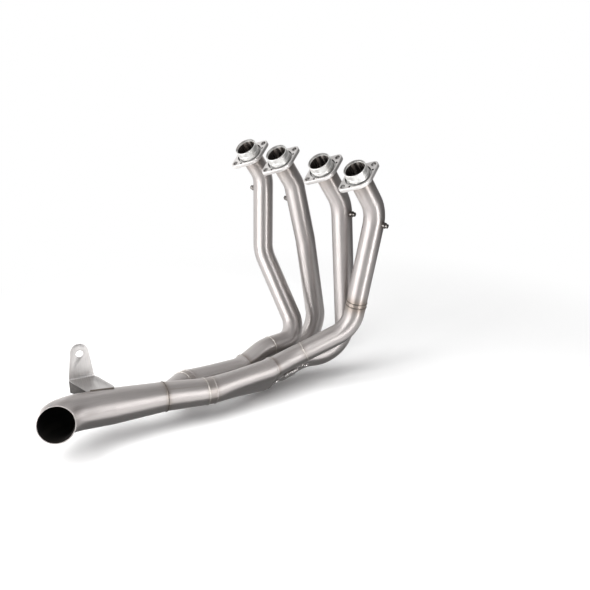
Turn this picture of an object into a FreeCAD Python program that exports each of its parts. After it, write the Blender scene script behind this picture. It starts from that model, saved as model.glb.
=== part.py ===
import FreeCAD, Part
import Sketcher
import math
import os

# Four-into-two-into-one exhaust header of a motorcycle with a transverse four-cylinder engine.
# Origin: middle of the port row, on the plane where the flanges meet the cylinder head.
# +X runs along the ports towards cylinder 4, +Y is the front of the motorcycle and +Z is up.

Vector = FreeCAD.Vector
doc = FreeCAD.newDocument("exhaust_header")

DIMENSIONS = {
    # Cylinder head
    "outer_pitch": 82.0,
    "inner_pitch": 106.0,
    "port_tilt": 36.0,
    # Head flanges
    "flange_thickness": 8.0,
    "flange_land": 3.5,
    "flange_chamfer": 0.8,
    "flange_end_radius": 8.0,
    "flange_turn": 65.5,
    "stud_spacing": 66.0,
    "stud_hole": 9.0,
    "locating_hole": 3.0,
    "locating_across": 24.85,
    "locating_along": 10.55,
    "recess_depth": 4.0,
    # Port collars
    "shoulder_proud": 3.5,
    "shoulder_height": 1.6,
    "spigot_proud": 1.8,
    "spigot_step": 7.0,
    "rim_proud": 1.2,
    "spigot_height": 18.0,
    "rim_wall": 1.4,
    "rim_ledge": 4.5,
    "collar_clearance": 0.5,
    # Pipes
    "primary_diameter": 39.0,
    "primary_wall": 1.2,
    "primary_clearance": 0.8,
    "secondary_diameter": 48.0,
    "secondary_wall": 1.5,
    "secondary_length": 17.0,
    "final_diameter": 52.0,
    "branch_end_diameter": 43.0,
    "tail_diameter": 62.0,
    "tail_wall": 1.5,
    "tail_cone_length": 96.0,
    "tail_bend_radius": 60.0,
    # First straight of each primary pipe, from its port to the first corner
    "lead_1": 62.0,
    "lead_2": 64.0,
    "lead_3": 92.0,
    "lead_4": 92.0,
    # Last straight of each primary pipe, from the last corner to its collector
    "approach_1": 50.0,
    "approach_2": 36.0,
    "approach_3": 100.0,
    "approach_4": 50.0,
    # Bend radii of each primary pipe, in order from its port
    "bend_1_first": 50.0,
    "bend_1_second": 57.0,
    "bend_1_third": 45.0,
    "bend_1_last": 70.0,
    "bend_2_first": 50.0,
    "bend_2_second": 100.0,
    "bend_2_third": 57.0,
    "bend_2_last": 57.0,
    "bend_3_first": 75.0,
    "bend_3_second": 62.0,
    "bend_3_last": 70.0,
    "bend_4_first": 75.0,
    "bend_4_second": 57.0,
    "bend_4_last": 80.0,
    # Merge collectors
    "pair_gap": 2.0,
    "mouth_length": 12.0,
    "mouth_insertion": 10.0,
    "mouth_rim_width": 3.0,
    "mouth_rim_height": 0.8,
    "mouth_plate": 2.0,
    "mouth_plate_depth": 1.5,
    # Slip joint
    "socket_length": 62.0,
    "socket_flare": 30.0,
    "socket_taper": 6.0,
    "socket_wall": 1.5,
    "slip_clearance": 0.3,
    "slip_end_gap": 2.0,
    # Springs and hooks
    "hook_rod": 4.0,
    "hook_reach": 12.0,
    "hook_bend": 4.0,
    "hook_tip": 4.0,
    "hook_spread": 45.0,
    "upper_hook_offset": 14.0,
    "lower_hook_offset": 9.0,
    "spring_line": 7.5,
    "spring_wire": 1.6,
    "spring_diameter": 8.8,
    "spring_coils": 17.0,
    "coil_gap": 0.15,
    "loop_clearance": 0.3,
    # Test ports
    "boss_diameter": 11.0,
    "boss_height": 5.0,
    "plug_thread": 6.0,
    "plug_across_corners": 9.0,
    "plug_head": 4.5,
    "plug_clearance": 0.1,
    "test_port_1": 84.0,
    "test_port_2": 94.0,
    "test_port_3": 105.0,
    "test_port_4": 106.0,
    # Welds
    "weld_bead": 1.2,
    "double_bead": 8.0,
    "foot_weld": 2.0,
    # Tail bracket
    "bracket_width": 43.5,
    "bracket_thickness": 3.0,
    "bracket_reach": 38.0,
    "bracket_rise": 10.0,
    "bracket_skew": 25.0,
    "bracket_bend": 5.0,
    "bracket_height": 63.0,
    "bracket_top_radius": 15.3,
    "bracket_hole": 13.0,
    "hole_drop": 2.5,
    "bracket_turn": 22.0,
    "gusset_thickness": 2.5,
    "gusset_drop": 24.0,
}

# Places in the header's own frame: corners of the pipe runs, collector mouths and merge rings.
PLACES = {
    "run_1_knee": (-135, 33, -205),
    "run_1_elbow": (-32, 32, -362),
    "run_2_knee": (-53, 70, -170),
    "run_2_elbow": (-53, 114, -400),
    "run_3_elbow": (53, 76, -384),
    "run_4_elbow": (98, 36, -306),
    "inlet_1": (-38, -113, -375),
    "inlet_4": (33, -112, -361),
    "left_ring": (-55, -255, -374),
    "right_ring": (0, -249, -370),
    "final_ring": (-29, -315, -365),
    "tail_corner": (-86, -497, -353),
    "outlet": (-33, -525, -337),
}

# Directions: flow into each collector mouth, the way from the lower to the upper pipe of a pair,
# and the step from the end of the tail cone to the bracket's foot.
DIRECTIONS = {
    "left_inflow": (-6, -94, -34),
    "right_inflow": (-8, -99, -12),
    "pair_lean": (26, 0, 31),
    "foot_offset": (-11.4, -7.6, 30.0),
}

# Way that each test port faces, as an angle from +X about +Z, by cylinder.
TEST_PORT_FACING = {"facing_1": 190, "facing_2": 190, "facing_3": 8, "facing_4": 8}
# Places of the pipe joints, as shares of the straight between two corners, by pipe.
JOINTS = {"joint_upper_1": 0.84, "joint_upper_4": 0.78, "joint_middle_4": 0.8}


def fill_sheet():
    """Write every driving dimension to the sheet, one row each, under its own alias."""
    sheet = doc.addObject("Spreadsheet::Sheet", "Dimensions")
    rows = dict(DIMENSIONS)
    for table in (PLACES, DIRECTIONS):
        for name, values in table.items():
            for axis, value in zip("xyz", values):
                rows[name + "_" + axis] = value
    rows.update(TEST_PORT_FACING)
    rows.update(JOINTS)
    for row, (alias, value) in enumerate(rows.items(), start=1):
        sheet.set("A" + str(row), alias)
        sheet.set("B" + str(row), str(value))
        sheet.setAlias("B" + str(row), alias)
    doc.recompute()
    return sheet


sheet = fill_sheet()
parts = []


def size(alias):
    """Value of one cell."""
    return float(sheet.get(alias))


def place(name):
    """Point or direction kept in three cells."""
    return Vector(size(name + "_x"), size(name + "_y"), size(name + "_z"))


def value_of(formula):
    """Number that a formula over the cells gives."""
    return float(sheet.evalExpression(formula))


def cell(formula):
    """Formula with each alias led by the sheet's name."""
    words = formula.split(" ")
    return " ".join("Dimensions." + word if word[0].isalpha() else word for word in words)


def keep(item, label):
    """Name a finished sub-part and list it for writing."""
    item.Label = label
    parts.append(item)
    return item


def unit(vector):
    return Vector(vector).normalize()


def square_frame(origin, axis, toward):
    """Placement with local Z along axis and local X as near toward as a square frame allows."""
    axis = unit(axis)
    across = unit(toward - axis * toward.dot(axis))
    return FreeCAD.Placement(origin, FreeCAD.Rotation(across, axis.cross(across), axis, "ZXY"))


def shifted(frame, distance):
    """The same frame moved along its own Z."""
    return frame.multiply(FreeCAD.Placement(Vector(0, 0, distance), FreeCAD.Rotation()))


def port_x(number):
    inner = size("inner_pitch") / 2
    return {1: -inner - size("outer_pitch"), 2: -inner, 3: inner, 4: inner + size("outer_pitch")}[number]


def port_frame(number):
    """Frame on a port: local Z points out of the spigot, up and back to the cylinder head."""
    turn = FreeCAD.Rotation(Vector(1, 0, 0), size("port_tilt"))
    return FreeCAD.Placement(Vector(port_x(number), 0, 0), turn)


def port_point(number, distance):
    """Point on the port's axis, a distance below the head plane."""
    return port_frame(number).multVec(Vector(0, 0, -distance))


# Shared builders


def plane_of(body, role):
    return [item for item in body.Origin.OriginFeatures if item.Role == role][0]


def new_sketch(body, role):
    sketch = body.newObject("Sketcher::SketchObject", body.Name + "_sketch")
    sketch.AttachmentSupport = (plane_of(body, role), [""])
    sketch.MapMode = "FlatFace"
    return sketch


def bind(sketch, constraint, formula):
    """Add a dimension to a sketch and tie it to its formula."""
    index = sketch.addConstraint(constraint)
    name = "size_" + str(index)
    sketch.renameConstraint(index, name)
    sketch.setExpression("Constraints." + name, cell(formula))


def profile(body, role, corners):
    """Closed sketch through corners, each given by two formulas that its coordinates are tied to."""
    sketch = new_sketch(body, role)
    spots = [Vector(value_of(cell(a)), value_of(cell(b)), 0) for a, b in corners]
    count = len(spots)
    for index in range(count):
        sketch.addGeometry(Part.LineSegment(spots[index], spots[(index + 1) % count]), False)
    for index in range(count):
        sketch.addConstraint(Sketcher.Constraint("Coincident", index, 2, (index + 1) % count, 1))
    for index, (across, along) in enumerate(corners):
        for kind, formula, axis in (("DistanceX", across, -2), ("DistanceY", along, -1)):
            if formula == "0":
                sketch.addConstraint(Sketcher.Constraint("PointOnObject", index, 1, axis))
            else:
                value = value_of(cell(formula))
                bind(sketch, Sketcher.Constraint(kind, -1, 1, index, 1, value), formula)
    return sketch


def turned_body(label, corners, frame):
    """Body of revolution about its local Z, from a closed profile of radius and height."""
    body = doc.addObject("PartDesign::Body", label)
    turning = body.newObject("PartDesign::Revolution", label + "_turning")
    sketch = profile(body, "XZ_Plane", corners)
    turning.Profile = sketch
    turning.ReferenceAxis = (sketch, ["V_Axis"])
    turning.Angle = 360
    body.Tip = turning
    body.Placement = frame
    return keep(body, label)


def cylinder(name, radius, height, frame):
    """Helper cylinder with both sizes tied to formulas."""
    item = doc.addObject("Part::Cylinder", name)
    item.setExpression("Radius", cell(radius))
    item.setExpression("Height", cell(height))
    item.Placement = frame
    return item


def cut(name, base, tool):
    item = doc.addObject("Part::Cut", name)
    item.Base = base
    item.Tool = tool
    return item


def joined(name, pieces):
    item = doc.addObject("Part::MultiFuse", name)
    item.Shapes = pieces
    return item


def shape_holder(name, shape):
    """Wire or face that a sweep, loft or extrusion reads."""
    item = doc.addObject("Part::Feature", name)
    item.Shape = shape
    return item


def bent_wire(corners, radii):
    """Straight runs through the corners, joined by tangent arcs of the given radii."""
    edges = []
    start = corners[0]
    for before, corner, after, radius in zip(corners, corners[1:], corners[2:], radii):
        back = unit(before - corner)
        ahead = unit(after - corner)
        half_turn = (math.pi - back.getAngle(ahead)) / 2
        reach = radius * math.tan(half_turn)
        arc_start = corner + back * reach
        arc_end = corner + ahead * reach
        bisector = unit(back + ahead)
        middle = corner + bisector * (radius / math.cos(half_turn) - radius)
        if (arc_start - start).Length > 0.01:
            edges.append(Part.LineSegment(start, arc_start).toShape())
        edges.append(Part.Arc(arc_start, middle, arc_end).toShape())
        start = arc_end
    if (corners[-1] - start).Length > 0.01:
        edges.append(Part.LineSegment(start, corners[-1]).toShape())
    return Part.Wire(edges)


def round_section(name, radius, wire):
    """Circle square to the start of a wire."""
    first = wire.Edges[0]
    heading = first.tangentAt(first.FirstParameter)
    item = doc.addObject("Part::Circle", name)
    item.setExpression("Radius", cell(radius))
    item.Placement = FreeCAD.Placement(wire.Edges[0].firstVertex().Point, FreeCAD.Rotation(Vector(0, 0, 1), heading))
    return item


def sweep(name, section, route):
    item = doc.addObject("Part::Sweep", name)
    item.Sections = [section]
    item.Spine = (route, ["Edge" + str(index + 1) for index in range(len(route.Shape.Edges))])
    item.Solid = True
    item.Frenet = False
    return item


def rod(name, corners, radii, radius):
    """Solid round bar along a bent route."""
    wire = bent_wire(corners, radii)
    return sweep(name, round_section(name + "_rim", radius, wire), shape_holder(name + "_route", wire))


def pipe(label, corners, radii, diameter, wall, openings=()):
    """Bent pipe; returns the solid rod of its outside, which other pieces are cut to."""
    outside = rod(label + "_outside", corners, radii, diameter + " / 2")
    inside = rod(label + "_inside", corners, radii, diameter + " / 2 - " + wall)
    hollow = joined(label + "_hollow", [inside] + list(openings)) if openings else inside
    keep(cut(label + "_pipe", outside, hollow), label)
    return outside


def weld(label, frame, radius):
    """Weld bead round a pipe: the part of a thin ring that lies outside the pipe."""
    ring = doc.addObject("Part::Torus", label + "_ring")
    ring.setExpression("Radius1", cell(radius))
    ring.setExpression("Radius2", cell("weld_bead"))
    ring.Placement = frame
    core = cylinder(label + "_core", radius, "weld_bead * 4", shifted(frame, -2 * size("weld_bead")))
    return keep(cut(label + "_bead", ring, core), label)


# Radii of the port pieces, each worked out from the pipe's size.
PIPE_RADIUS = "primary_diameter / 2"
SHOULDER = PIPE_RADIUS + " + shoulder_proud"
SPIGOT = PIPE_RADIUS + " + spigot_proud"
RIM = PIPE_RADIUS + " + rim_proud"
RECESS = SHOULDER + " + collar_clearance"
FLANGE_MIDDLE = RECESS + " + flange_land"

# Head flanges


def tangent_outline(sketch):
    """Two-bolt outline: a large middle circle and two small end circles, joined by tangents."""
    middle = value_of(cell(FLANGE_MIDDLE))
    end = size("flange_end_radius")
    reach = size("stud_spacing") / 2
    lean = math.acos((middle - end) / reach)
    up = Vector(0, 0, 1)
    circle = Part.Circle(Vector(0, 0, 0), up, middle)
    right = Part.Circle(Vector(reach, 0, 0), up, end)
    left = Part.Circle(Vector(-reach, 0, 0), up, end)
    sketch.addGeometry(Part.ArcOfCircle(right, -lean, lean), False)
    sketch.addGeometry(Part.ArcOfCircle(circle, lean, math.pi - lean), False)
    sketch.addGeometry(Part.ArcOfCircle(left, math.pi - lean, math.pi + lean), False)
    sketch.addGeometry(Part.ArcOfCircle(circle, math.pi + lean, -lean), False)
    for index in range(4):
        here = sketch.Geometry[index]
        there = sketch.Geometry[(index + 1) % 4]
        sketch.addGeometry(Part.LineSegment(here.EndPoint, there.StartPoint), False)
    for index in range(4):
        sketch.addConstraint(Sketcher.Constraint("Tangent", index, 2, 4 + index, 1))
        sketch.addConstraint(Sketcher.Constraint("Tangent", 4 + index, 2, (index + 1) % 4, 1))
    sketch.addConstraint(Sketcher.Constraint("Coincident", 1, 3, -1, 1))
    sketch.addConstraint(Sketcher.Constraint("Coincident", 3, 3, -1, 1))
    sketch.addConstraint(Sketcher.Constraint("PointOnObject", 0, 3, -1))
    sketch.addConstraint(Sketcher.Constraint("Symmetric", 0, 3, 2, 3, -1, 1))
    sketch.addConstraint(Sketcher.Constraint("Equal", 0, 2))
    sketch.addConstraint(Sketcher.Constraint("Equal", 1, 3))
    bind(sketch, Sketcher.Constraint("Radius", 0, end), "flange_end_radius")
    bind(sketch, Sketcher.Constraint("Radius", 1, middle), FLANGE_MIDDLE)
    bind(sketch, Sketcher.Constraint("DistanceX", -1, 1, 0, 3, reach), "stud_spacing / 2")


def holes(body, name, circles, depth):
    """Pocket from the head face down: depth is a formula, or None for right through."""
    sketch = new_sketch(body, "XY_Plane")
    for index, (across, along, radius) in enumerate(circles):
        centre = Vector(value_of(cell(across)), value_of(cell(along)), 0)
        sketch.addGeometry(Part.Circle(centre, Vector(0, 0, 1), value_of(cell(radius))), False)
        for kind, formula, axis, value in (
            ("DistanceX", across, -2, centre.x),
            ("DistanceY", along, -1, centre.y),
        ):
            if formula == "0":
                sketch.addConstraint(Sketcher.Constraint("PointOnObject", index, 3, axis))
            else:
                bind(sketch, Sketcher.Constraint(kind, -1, 1, index, 3, value), formula)
        bind(sketch, Sketcher.Constraint("Radius", index, value_of(cell(radius))), radius)
    pocket = body.newObject("PartDesign::Pocket", name)
    pocket.Profile = sketch
    if depth is None:
        pocket.Type = "ThroughAll"
    else:
        pocket.setExpression("Length", cell(depth))
    body.Tip = pocket


def flat_edges(shape):
    """Names of the edges that lie level, which are the two outlines of a plate."""
    names = []
    for index, edge in enumerate(shape.Edges, start=1):
        if edge.BoundBox.ZLength < size("flange_thickness") / 2:
            names.append("Edge" + str(index))
    return names


def head_flange(number):
    """Loose two-bolt flange; its recess takes the collar's shoulder and its bore clears the pipe."""
    label = "head_flange_" + str(number)
    body = doc.addObject("PartDesign::Body", label)
    outline = new_sketch(body, "XY_Plane")
    tangent_outline(outline)
    plate = body.newObject("PartDesign::Pad", label + "_plate")
    plate.Profile = outline
    plate.Reversed = True
    plate.setExpression("Length", cell("flange_thickness"))
    doc.recompute()
    chamfer = body.newObject("PartDesign::Chamfer", label + "_edges")
    chamfer.Base = (plate, flat_edges(plate.Shape))
    chamfer.setExpression("Size", cell("flange_chamfer"))
    body.Tip = chamfer
    small = "locating_hole / 2"
    through = [
        ("0", "0", PIPE_RADIUS + " + primary_clearance"),
        ("stud_spacing / 2", "0", "stud_hole / 2"),
        ("0 - stud_spacing / 2", "0", "stud_hole / 2"),
        ("locating_across", "0 - locating_along", small),
        ("0 - locating_across", "0 - locating_along", small),
    ]
    holes(body, label + "_through_holes", through, None)
    recess = [("0", "0", RECESS)]
    holes(body, label + "_recess", recess, "recess_depth")
    turn = FreeCAD.Placement(Vector(), FreeCAD.Rotation(Vector(0, 0, 1), size("flange_turn")))
    body.Placement = port_frame(number).multiply(turn)
    return keep(body, label)


# Port collars


def port_collar(number):
    """Turned collar: shoulder in the flange recess, stepped spigot, ledge inside the rim."""
    bore = PIPE_RADIUS + " - primary_wall"
    top = "spigot_height + recess_depth"
    step = "spigot_step + recess_depth"
    lip = RIM + " - rim_wall"
    corners = [
        (bore, "0"),
        (SHOULDER, "0"),
        (SHOULDER, "shoulder_height"),
        (SPIGOT, "shoulder_height"),
        (SPIGOT, step),
        (RIM, step + " + spigot_proud - rim_proud"),
        (RIM, top + " - rim_wall / 2"),
        (RIM + " - rim_wall / 2", top),
        (lip, top),
        (lip, top + " - rim_ledge"),
        (bore, top + " - rim_ledge"),
    ]
    return turned_body("port_collar_" + str(number), corners, shifted(port_frame(number), -size("recess_depth")))


for number in (1, 2, 3, 4):
    head_flange(number)
    port_collar(number)

# Merge collectors

SIDES = ("left", "right")


def pair_spacing():
    """Distance between the axes of the two pipes of a pair."""
    return size("primary_diameter") + size("pair_gap")


def inflow(side):
    return unit(place(side + "_inflow"))


def mouth_frame(side):
    """Frame at the middle of a collector's mouth: local Z with the flow, local X to the upper pipe."""
    upper = "inlet_1" if side == "left" else "inlet_4"
    frame = square_frame(place(upper), inflow(side), place("pair_lean"))
    to_middle = FreeCAD.Placement(Vector(-pair_spacing() / 2, 0, 0), FreeCAD.Rotation())
    return frame.multiply(to_middle)


def inlet_point(number, distance):
    """Point on an inlet pipe's axis, a distance past the collector's mouth."""
    side = "left" if number in (1, 2) else "right"
    sign = 1 if number in (1, 4) else -1
    return mouth_frame(side).multVec(Vector(sign * pair_spacing() / 2, 0, distance))


def ring_axis(side):
    """Direction of a secondary pipe, halfway between the flow before it and after it."""
    ring = place(side + "_ring")
    before = unit(ring - mouth_frame(side).Base)
    after = unit(place("final_ring") - ring)
    return unit(before + after)


def secondary_frame(side, distance):
    """Frame on a secondary pipe, a distance past its downstream end."""
    frame = square_frame(place(side + "_ring"), ring_axis(side), place("pair_lean"))
    return shifted(frame, distance)


def oval_wire(frame, radius):
    """Outline round two pipes side by side, as four edges."""
    half = pair_spacing() / 2
    east = Vector(half + radius, 0, 0)
    west = Vector(-half - radius, 0, 0)
    corners = [Vector(half, -radius, 0), Vector(half, radius, 0), Vector(-half, radius, 0), Vector(-half, -radius, 0)]
    edges = [
        Part.Arc(corners[0], east, corners[1]).toShape(),
        Part.LineSegment(corners[1], corners[2]).toShape(),
        Part.Arc(corners[2], west, corners[3]).toShape(),
        Part.LineSegment(corners[3], corners[0]).toShape(),
    ]
    wire = Part.Wire(edges)
    wire.Placement = frame
    return wire


def quartered_circle(frame, radius):
    """Circle as four arcs that answer to the four edges of the oval."""
    half = pair_spacing() / 2
    corner = math.atan2(radius, half)
    angles = [-corner, corner, math.pi - corner, math.pi + corner, 2 * math.pi - corner]
    edges = []
    for first, last in zip(angles, angles[1:]):
        spots = [Vector(radius * math.cos(a), radius * math.sin(a), 0) for a in (first, (first + last) / 2, last)]
        edges.append(Part.Arc(*spots).toShape())
    wire = Part.Wire(edges)
    wire.Placement = frame
    return wire


def loft(name, sections):
    item = doc.addObject("Part::Loft", name)
    item.Sections = sections
    item.Solid = True
    item.Ruled = False
    return item


def straight_oval(name, frame, radius, length):
    """Prism on the oval outline, along the frame's local Z."""
    item = doc.addObject("Part::Extrusion", name)
    item.Base = shape_holder(name + "_outline", oval_wire(frame, radius))
    item.DirMode = "Custom"
    item.Dir = frame.Rotation.multVec(Vector(0, 0, 1))
    item.LengthFwd = length
    item.Solid = True
    return item


def merge_form(name, side, mouth_radius, ring_radius):
    """Solid form of a merge collector: a straight oval mouth that tapers to the secondary pipe."""
    frame = mouth_frame(side)
    deep = shifted(frame, size("mouth_length"))
    ring = secondary_frame(side, -size("secondary_length"))
    mouth = straight_oval(name + "_mouth", frame, mouth_radius, size("mouth_length"))
    sections = [
        shape_holder(name + "_oval", oval_wire(deep, mouth_radius)),
        shape_holder(name + "_circle", quartered_circle(ring, ring_radius)),
    ]
    return [mouth, loft(name + "_taper", sections)]


def merge_collector(side):
    """Two-into-one collector: a thin shell with a raised rim at its mouth."""
    label = "merge_collector_" + side
    fit = size("primary_diameter") / 2
    wall = size("secondary_wall")
    ring_radius = size("secondary_diameter") / 2
    rim_radius = fit + wall + size("mouth_rim_height")
    outside = merge_form(label + "_outside", side, fit + wall, ring_radius)
    outside.append(straight_oval(label + "_rim", mouth_frame(side), rim_radius, size("mouth_rim_width")))
    inside = merge_form(label + "_inside", side, fit, ring_radius - wall)
    shell = cut(label + "_shell", joined(label + "_form", outside), joined(label + "_gasway", inside))
    return keep(shell, label)


def secondary_pipe(side):
    """Short round pipe between a merge collector and the final collector, with a weld at each end."""
    label = "secondary_pipe_" + side
    start = secondary_frame(side, -size("secondary_length"))
    outside = cylinder(label + "_outside", "secondary_diameter / 2", "secondary_length", start)
    inside = cylinder(label + "_inside", "secondary_diameter / 2 - secondary_wall", "secondary_length", start)
    keep(cut(label + "_wall", outside, inside), label)
    bead = size("weld_bead")
    weld("weld_" + side + "_front", shifted(start, bead), "secondary_diameter / 2")
    weld("weld_" + side + "_rear", secondary_frame(side, -bead), "secondary_diameter / 2")


for side in SIDES:
    merge_collector(side)
    secondary_pipe(side)

# Final collector and tail


def tail_direction():
    return unit(place("tail_corner") - place("final_ring"))


def tail_frame(distance):
    """Frame on the straight tail, a distance past the final ring."""
    frame = square_frame(place("final_ring"), tail_direction(), Vector(0, 0, 1))
    return shifted(frame, distance)


def circle_at(name, frame, radius):
    item = doc.addObject("Part::Circle", name)
    item.setExpression("Radius", cell(radius))
    item.Placement = frame
    return item


def final_form(name, inset):
    """Main leg that widens to the round end, and a branch that runs into its side."""
    legs = []
    for side, end_size in (("left", "branch_end_diameter / 2"), ("right", "final_diameter / 2")):
        start = circle_at(name + "_start_" + side, secondary_frame(side, 0), "secondary_diameter / 2" + inset)
        end = circle_at(name + "_end_" + side, tail_frame(0), end_size + inset)
        legs.append(loft(name + "_leg_" + side, [start, end]))
    return joined(name, legs)


outside = final_form("final_outside", "")
inside = final_form("final_inside", " - secondary_wall")
keep(cut("final_shell", outside, inside), "final_collector")


def tail_cone():
    """Cone that widens from the final collector to the tail elbow."""
    solids = []
    for name, inset in (("tail_cone_outside", ""), ("tail_cone_inside", " - tail_wall")):
        cone = doc.addObject("Part::Cone", name)
        cone.setExpression("Radius1", cell("final_diameter / 2" + inset))
        cone.setExpression("Radius2", cell("tail_diameter / 2" + inset))
        cone.setExpression("Height", cell("tail_cone_length"))
        cone.Placement = tail_frame(0)
        solids.append(cone)
    keep(cut("tail_cone_wall", *solids), "tail_cone")
    return solids[0]


cone_outside = tail_cone()
bead_reach = "( tail_diameter - final_diameter ) * weld_bead / tail_cone_length"
weld("weld_final", tail_frame(size("weld_bead")), "final_diameter / 2 + " + bead_reach)
tail_corners = [tail_frame(size("tail_cone_length")).Base, place("tail_corner"), place("outlet")]
elbow_outside = pipe("tail_elbow", tail_corners, [size("tail_bend_radius")], "tail_diameter", "tail_wall")

# Primary pipes


def port_seat(number):
    """Start of a primary pipe, on the underside of its collar."""
    return port_point(number, size("recess_depth"))


def lead_corner(number):
    return port_point(number, size("lead_" + str(number)))


def run_corner(number, name):
    """Corner of a run; a run's knee stays in line with its port."""
    spot = place("run_" + str(number) + "_" + name)
    if name == "knee":
        spot.x = port_x(number)
    return spot


def approach_corner(number):
    return inlet_point(number, -size("approach_" + str(number)))


def bends(number):
    """Bend radii of a primary pipe, in order from its port."""
    orders = ["first", "second", "third", "last"]
    names = ["bend_" + str(number) + "_" + order for order in orders]
    return [size(name) for name in names if name in DIMENSIONS]


def between(start, end, share):
    return start + (end - start) * share


def station(wire, distance):
    """Point and heading on a wire, a distance from its start."""
    for edge in wire.Edges:
        if distance <= edge.Length:
            parameter = edge.getParameterByLength(distance)
            return edge.valueAt(parameter), edge.tangentAt(parameter)
        distance -= edge.Length
    return wire.Edges[-1].valueAt(wire.Edges[-1].LastParameter), edge.tangentAt(edge.LastParameter)


def test_port_frame(number, corners, radii):
    """Frame of a test port: origin on the pipe's axis, local Z out through the wall."""
    spot, heading = station(bent_wire(corners, radii), size("test_port_" + str(number)))
    facing = math.radians(size("facing_" + str(number)))
    outward = Vector(math.cos(facing), math.sin(facing), 0)
    outward = unit(outward - heading * outward.dot(heading))
    return square_frame(spot, outward, heading)


def test_port(number, frame, outside):
    """Round boss welded on the pipe and a hexagon plug screwed into it."""
    label = "test_port_boss_" + str(number)
    height = "primary_diameter / 2 + boss_height"
    stub = cylinder(label + "_stub", "boss_diameter / 2", height, frame)
    bore = cylinder(label + "_bore", "plug_thread / 2", height + " + 1", frame)
    keep(cut(label + "_boss", stub, joined(label + "_tools", [outside, bore])), label)
    label = "test_port_plug_" + str(number)
    top = shifted(frame, size("primary_diameter") / 2 + size("boss_height"))
    shank_length = size("boss_height")
    shank_radius = "plug_thread / 2 - plug_clearance"
    shank = cylinder(label + "_shank", shank_radius, "boss_height", shifted(top, -shank_length))
    head = doc.addObject("Part::Prism", label + "_head")
    head.Polygon = 6
    head.setExpression("Circumradius", cell("plug_across_corners / 2"))
    head.setExpression("Height", cell("plug_head"))
    head.Placement = top
    keep(joined(label + "_plug", [shank, head]), label)


def pipe_joint(number, name, before, after):
    """Place of a joint and its frame, on the straight between two corners."""
    spot = between(before, after, size("joint_" + name + "_" + str(number)))
    return spot, square_frame(spot, after - before, Vector(0, 0, 1))


def first_pipe(label, number, corners, radii):
    """Pipe from the port, with its test port."""
    frame = test_port_frame(number, corners, radii)
    hole = cylinder(label + "_test_hole", "plug_thread / 2", "primary_diameter / 2 + 1", frame)
    outside = pipe(label, corners, radii, "primary_diameter", "primary_wall", [hole])
    test_port(number, frame, outside)
    return outside


def primary_1():
    """Pipe of cylinder 1: crosses inward under its neighbour, welded before the collector."""
    corners = [port_seat(1), lead_corner(1), run_corner(1, "knee"), run_corner(1, "elbow")]
    approach = approach_corner(1)
    joint, frame = pipe_joint(1, "upper", corners[-1], approach)
    radii = bends(1)
    first_pipe("primary_1_upper", 1, corners + [joint], radii[:3])
    end = inlet_point(1, size("mouth_insertion"))
    pipe("primary_1_lower", [joint, approach, end], radii[3:], "primary_diameter", "primary_wall")
    weld("weld_1", frame, "primary_diameter / 2")


def primary_2():
    """Pipe of cylinder 2, in one piece."""
    corners = [port_seat(2), lead_corner(2), run_corner(2, "knee"), run_corner(2, "elbow")]
    corners += [approach_corner(2), inlet_point(2, size("mouth_insertion"))]
    first_pipe("primary_2", 2, corners, bends(2))


def primary_3():
    """Pipe of cylinder 3, whose end slides in the socket."""
    corners = [port_seat(3), lead_corner(3), run_corner(3, "elbow"), approach_corner(3)]
    corners.append(inlet_point(3, -size("socket_length") + size("socket_flare") - size("slip_end_gap")))
    return first_pipe("primary_3", 3, corners, bends(3))


def primary_4():
    """Pipe of cylinder 4, in three welded pieces with a double bead at the upper joint."""
    lead = lead_corner(4)
    elbow = run_corner(4, "elbow")
    approach = approach_corner(4)
    radii = bends(4)
    high, high_frame = pipe_joint(4, "upper", lead, elbow)
    low, low_frame = pipe_joint(4, "middle", elbow, approach)
    first_pipe("primary_4_upper", 4, [port_seat(4), lead, high], radii[:1])
    pipe("primary_4_middle", [high, elbow, low], radii[1:2], "primary_diameter", "primary_wall")
    end = inlet_point(4, size("mouth_insertion"))
    pipe("primary_4_lower", [low, approach, end], radii[2:], "primary_diameter", "primary_wall")
    half = size("double_bead") / 2
    weld("weld_4_upper_a", shifted(high_frame, -half), "primary_diameter / 2")
    weld("weld_4_upper_b", shifted(high_frame, half), "primary_diameter / 2")
    weld("weld_4_lower", low_frame, "primary_diameter / 2")


primary_1()
primary_2()
slip_pipe = primary_3()
primary_4()

# Mouth plates


def mouth_plate(side):
    """Plate that closes the two gaps between a pair of pipes just inside the mouth."""
    label = "mouth_plate_" + side
    frame = shifted(mouth_frame(side), size("mouth_plate_depth"))
    sheet_metal = straight_oval(label + "_blank", frame, size("primary_diameter") / 2, size("mouth_plate"))
    tools = []
    for sign, name in ((1, "upper"), (-1, "lower")):
        offset = FreeCAD.Placement(Vector(sign * pair_spacing() / 2, 0, 0), FreeCAD.Rotation())
        tools.append(cylinder(label + "_" + name, "primary_diameter / 2", "mouth_plate", frame.multiply(offset)))
    keep(cut(label + "_cut", sheet_metal, joined(label + "_tools", tools)), label)


for side in SIDES:
    mouth_plate(side)

# Slip joint


def slip_frame(distance):
    """Frame on pipe 3 at its collector: local Z upstream, local X towards pipe 4."""
    base = inlet_point(3, -distance)
    toward = inlet_point(4, 0) - inlet_point(3, 0)
    return square_frame(base, inflow("right") * -1, toward)


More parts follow.
